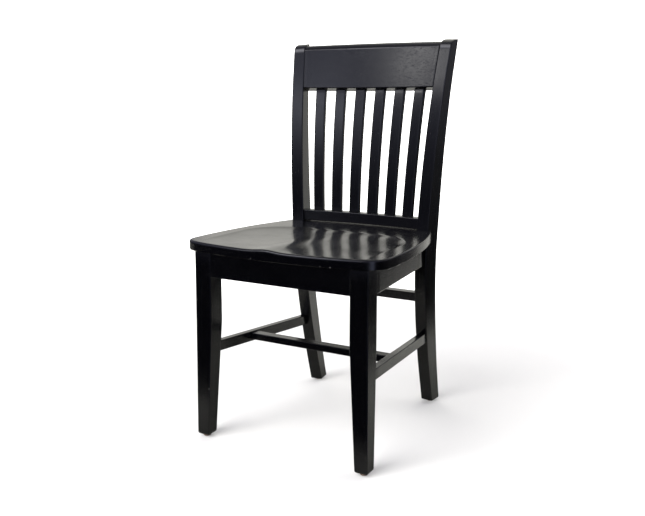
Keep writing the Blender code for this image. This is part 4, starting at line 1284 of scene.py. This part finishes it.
@dataclass
class Hardware:
    """Corner blocks, dowels, screws, glides and their nails, which keep their modelled shape."""

    effects: SharedEffects

    def dress(self, starts: str, material: bpy.types.Material) -> None:
        """Gives every node whose name starts with some words a finish."""
        for name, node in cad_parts.items():
            if name.startswith(starts):
                node.data.materials.clear()
                node.data.materials.append(material)
                LOG.info("%s dressed in %s", name, material.name)

    def build(self) -> None:
        """Dresses all of it."""
        self.dress("corner_block_", BeechFinish(self.effects).make("corner block beech"))
        self.dress("crest_dowel_", BeechFinish(self.effects, pale=(0.64, 0.46, 0.28)).make("dowel beech"))
        zinc = ZincFinish(self.effects).make("zinc plate")
        for starts in ("block_screw_", "seat_screw_", "glide_nail_"):
            self.dress(starts, zinc)
        nylon = NylonFinish(self.effects).make("glide nylon")
        for tag in ("front_left", "front_right", "rear_left", "rear_right"):
            self.dress(f"glide_{tag}", nylon)


# Studio


@dataclass(frozen=True)
class Softbox:
    """One soft light, aimed at a point."""

    name: str
    place: tuple[float, float, float]
    aim: tuple[float, float, float]
    size: tuple[float, float]
    watts: float
    colour: tuple[float, float, float] = (1.0, 1.0, 1.0)

    def build(self) -> None:
        """Hangs the light."""
        data = bpy.data.lights.new(self.name, "AREA")
        data.shape = "RECTANGLE"
        data.size, data.size_y = self.size
        data.energy = self.watts
        data.color = self.colour
        light = bpy.data.objects.new(self.name, data)
        light.location = self.place
        light.rotation_mode = "QUATERNION"
        light.rotation_quaternion = (Vector(self.aim) - Vector(self.place)).to_track_quat("-Z", "Y")
        light.visible_glossy = False
        bpy.context.scene.collection.objects.link(light)


@dataclass(frozen=True)
class Viewpoint:
    """The photograph's camera."""

    place: tuple[float, float, float] = (0.87211, -1.36065, 0.75095)
    yaw: float = math.radians(29.3007)
    pitch: float = math.radians(8.2244)
    roll: float = math.radians(0.0833)
    focal_px: float = 801.805
    frame_px: tuple[int, int] = (645, 516)
    axis_px: tuple[float, float] = (322.5, 215.0)

    def build(self) -> None:
        """Stands the camera up."""
        data = bpy.data.cameras.new("viewpoint")
        data.sensor_width = 36.0
        data.lens = self.focal_px / self.frame_px[0] * 36.0
        data.shift_x = (self.frame_px[0] / 2 - self.axis_px[0]) / self.frame_px[0]
        data.shift_y = (self.axis_px[1] - self.frame_px[1] / 2) / self.frame_px[0]
        ahead = Vector((
            -math.sin(self.yaw) * math.cos(self.pitch),
            math.cos(self.yaw) * math.cos(self.pitch),
            -math.sin(self.pitch),
        ))
        right = Vector((math.cos(self.yaw), math.sin(self.yaw), 0))
        up = right.cross(ahead)
        level, tilt = math.cos(self.roll), math.sin(self.roll)
        right, up = right * level + up * tilt, up * level - right * tilt
        turn = Matrix((right, up, -ahead)).transposed().to_4x4()
        camera = bpy.data.objects.new("viewpoint", data)
        camera.matrix_world = Matrix.Translation(Vector(self.place) + Vector((0, SHIFT, 0))) @ turn
        bpy.context.scene.collection.objects.link(camera)
        bpy.context.scene.camera = camera


@dataclass(frozen=True)
class Glow:
    """A bright patch of the room: its direction and half-widths in degrees, and its light."""

    azimuth: float
    climb: float
    spread: tuple[float, float]
    light: tuple[float, float, float]

    def add(self, b: Bench, way: object) -> bpy.types.NodeSocket:
        """Light of the patch in a direction: it fades as exp(-r * r / 2), r in half-widths off its middle."""
        turn, rise = math.radians(self.azimuth), math.radians(self.climb)
        ahead = Vector((math.sin(turn) * math.cos(rise), math.cos(turn) * math.cos(rise), math.sin(rise)))
        side = Vector((math.cos(turn), -math.sin(turn), 0))
        over = side.cross(ahead)
        radius = None
        for axis, spread in ((side, self.spread[0]), (over, self.spread[1])):
            off = b.math("MULTIPLY", b.along(way, tuple(axis)), 1 / math.radians(spread))
            off = b.math("MULTIPLY", off, off)
            radius = off if radius is None else b.math("ADD", radius, off)
        level = b.math("EXPONENT", b.math("MULTIPLY", radius, -0.5))
        facing = b.math("GREATER_THAN", b.along(way, tuple(ahead)), 0.0)
        return b.scaled_colour(self.light, b.math("MULTIPLY", level, facing))


@dataclass(frozen=True)
class Surround:
    """What the lacquer mirrors, by direction: a dark room with two windows at its front left."""

    room: tuple[tuple[float, float], ...] = (
        (-0.50, 0.002), (-0.21, 0.006), (-0.105, 0.026), (-0.035, 0.065), (0.035, 0.10),
        (0.087, 0.15), (0.174, 0.22), (0.26, 0.28), (0.34, 0.40), (0.44, 0.50),
        (0.62, 0.28), (0.766, 0.08), (0.85, 0.08), (0.92, 0.16), (1.0, 0.30),
    )
    room_tint: tuple[float, float, float] = (0.90, 0.93, 1.30)
    beyond: tuple[tuple[float, float], ...] = (
        (-0.50, 0.005), (-0.24, 0.010), (-0.20, 0.045), (-0.105, 0.06), (-0.07, 0.14), (-0.035, 0.18),
        (0.017, 0.24), (0.10, 0.30), (0.30, 0.34), (0.88, 0.42), (1.0, 0.42),
    )
    beyond_tint: tuple[float, float, float] = (0.97, 0.97, 1.12)
    glows: tuple[Glow, ...] = (
        Glow(-166, 17.5, (6.6, 4.0), (2.2, 2.25, 2.6)),
        Glow(-138.8, 24.5, (4.8, 2.3), (6.0, 5.95, 5.8)),
        Glow(-143, 45, (9.0, 6.5), (6.0, 6.0, 6.5)),
        Glow(149, -2, (7.0, 22.0), (0.85, 0.93, 1.30)),
    )

    def build(self) -> None:
        """Builds the world's light from its own direction vector; the camera itself sees plain white."""
        world = bpy.data.worlds.new("surround")
        world.use_nodes = True
        b = Bench(world.node_tree)
        way = b.add("ShaderNodeTexCoord").outputs["Generated"]
        parts = b.add("ShaderNodeSeparateXYZ", {0: way}).outputs
        lift = b.math("MULTIPLY", b.math("ADD", parts["Z"], 0.5), 1 / 1.5)
        tones = []
        for stops, tint in ((self.room, self.room_tint), (self.beyond, self.beyond_tint)):
            level = b.ramp(lift, [((z + 0.5) / 1.5, value) for z, value in stops])
            tones.append(b.scaled_colour(tint, level))
        room, beyond = tones
        for glow in self.glows:
            room = b.plus(room, glow.add(b, way))
        colour = b.blend(b.span(parts["Y"], -0.20, 0.30), room, beyond)
        seen = b.add("ShaderNodeLightPath").outputs["Is Camera Ray"]
        colour = b.blend(seen, colour, (1.02, 1.02, 1.02, 1))
        background = world.node_tree.nodes["Background"]
        b.tree.links.new(colour, background.inputs["Color"])
        bpy.context.scene.world = world


@dataclass
class Studio:
    """White paper on the floor and up the wall, soft lights and the surround."""

    paper_white: float = 1.03
    near_white: float = 0.072
    near_reach: tuple[float, float] = (0.75, 1.8)
    albedo: tuple[float, float, float] = (0.608, 0.600, 0.578)
    mirrored_albedo: tuple[float, float, float] = (0.46, 0.455, 0.405)
    front_edge: tuple[float, float, float] = (-0.137, 0.18, 0.070)
    right_edge: tuple[float, float, float] = (0.508, 0.05, 0.100)
    left_edge: tuple[float, float] = (-2.35, 0.2)
    edge_pivot: float = 0.8
    seat_shade: tuple[float, float] = (0.66, 0.45)
    shade_middle: tuple[float, float, float] = (-0.06, -0.05, 0.0)
    wall: float = 2.4
    bend: float = 0.8
    reach: float = 9.0
    high: float = 6.0
    wall_tones: tuple[tuple[float, float], ...] = (
        (0.0, 0.66), (0.3, 0.75), (0.8, 0.85), (1.2, 0.92), (1.8, 1.10), (3.0, 1.10),
    )
    wall_tint: tuple[float, float, float] = (1.02, 1.005, 0.94)

    def sweep(self) -> None:
        """Floor and backdrop in one sheet: flat in front, a quarter round, then upright."""
        t = np.linspace(0, math.pi / 2, 24)
        run = np.concatenate([[-self.reach], self.wall - self.bend + self.bend * np.sin(t), [self.wall]])
        rise = np.concatenate([[0.0], self.bend * (1 - np.cos(t)), [self.high]])
        side = np.linspace(-self.reach, self.reach, 3)
        x, y = np.meshgrid(side, run)
        w = np.broadcast_to(rise[:, None], x.shape)
        points = np.stack([x, y, w - 0.0002], -1).reshape(-1, 3)
        i, j = np.meshgrid(np.arange(len(run) - 1), np.arange(2), indexing="ij")
        faces = np.stack([i * 3 + j, i * 3 + j + 1, (i + 1) * 3 + j + 1, (i + 1) * 3 + j], -1).reshape(-1, 4)
        mesh = bpy.data.meshes.new("sweep")
        mesh.from_pydata(points.tolist(), [], faces.tolist())
        mesh.shade_smooth()
        mesh.materials.append(self.paper())
        sheet = bpy.data.objects.new("sweep", mesh)
        bpy.context.scene.collection.objects.link(sheet)

    def paper(self) -> bpy.types.Material:
        """Matt white paper, lit so that the chair's shadow stays faint.

        The lacquer mirrors it dimmer than the eye sees it, and only as far as its front and right edges.
        """
        mat, b, shader = new_material("sweep paper")
        shader.inputs["Roughness"].default_value = 0.9
        shader.inputs["Specular IOR Level"].default_value = 0.0
        shader.inputs["Base Color"].default_value = (*self.albedo, 1)
        shader.inputs["Emission Color"].default_value = (1, 1, 1, 1)
        place = b.add("ShaderNodeTexCoord").outputs["Object"]
        parts = b.add("ShaderNodeSeparateXYZ", {0: place}).outputs
        white = b.span(b.apart(place, (0, 0, 0)), *self.near_reach, self.near_white, self.paper_white)
        b.tree.links.new(white, shader.inputs["Emission Strength"])
        front, slant, soft = self.front_edge
        ahead = b.math("SUBTRACT", parts["Y"], b.math("MULTIPLY", parts["X"], slant))
        inside = b.span(ahead, front + SHIFT - soft, front + SHIFT + soft)
        right, slant, soft = self.right_edge
        turned = b.math("MULTIPLY", b.math("SUBTRACT", parts["Y"], self.edge_pivot + SHIFT), slant)
        across = b.math("SUBTRACT", parts["X"], turned)
        inside = b.math("MULTIPLY", inside, b.span(across, right + soft, right - soft))
        left, soft = self.left_edge
        inside = b.math("MULTIPLY", inside, b.span(parts["X"], left - soft, left + soft))
        depth, reach = self.seat_shade
        shade = b.span(b.apart(place, self.shade_middle), 0.0, 2 * reach, 1 - depth, 1.0)
        low = b.add("ShaderNodeBsdfDiffuse", {"Color": b.scaled_colour(self.mirrored_albedo, shade)})
        climb = b.math("MULTIPLY", parts["Z"], 1 / 3.0)
        tone = b.ramp(climb, [(z / 3.0, value / 1.2) for z, value in self.wall_tones])
        high = b.add("ShaderNodeEmission", {"Color": b.scaled_colour(self.wall_tint, tone), "Strength": 1.2})
        far = b.span(parts["Y"], 1.0, 2.2)
        paper = b.add("ShaderNodeMixShader", {0: far, 1: low.outputs[0], 2: high.outputs[0]})
        clear = b.add("ShaderNodeBsdfTransparent")
        mirrored = b.add("ShaderNodeMixShader", {0: inside, 1: clear.outputs[0], 2: paper.outputs[0]})
        glossy = b.add("ShaderNodeLightPath").outputs["Is Glossy Ray"]
        mix = b.add("ShaderNodeMixShader", {0: glossy, 1: shader.outputs[0], 2: mirrored.outputs[0]})
        b.tree.links.new(mix.outputs[0], mat.node_tree.nodes["Material Output"].inputs["Surface"])
        return mat

    def build(self) -> None:
        """Sets the stage and lights it."""
        self.sweep()
        Surround().build()
        for box in (
            Softbox("window at the front left", (-0.76, -2.1, 2.9), (0.0, 0.05, 0.1), (1.6, 1.6), 44),
            Softbox("low front light", (-1.6, -7.6, 1.9), (0.0, 0.05, 0.2), (6.5, 2.2), 1300),
            Softbox("overhead", (-0.9, -1.7, 3.2), (0, 0.1, 0), (2.6, 2.6), 38),
        ):
            box.build()
        view = bpy.context.scene.view_settings
        view.view_transform = "Standard"
        view.look = "None"


def main() -> None:
    """Builds the chair's looks in order."""
    logging.basicConfig(level=logging.INFO, format="%(message)s")
    Viewpoint().build()
    effects = SharedEffects()
    FrontLegs(LAYOUT, effects).build()
    BackPosts(LAYOUT, effects).build()
    Underframe(LAYOUT, effects).build()
    Back(LAYOUT, effects).build()
    Seat(LAYOUT, effects).build()
    Hardware(effects).build()
    Studio().build()


if __name__ == "__main__":
    main()
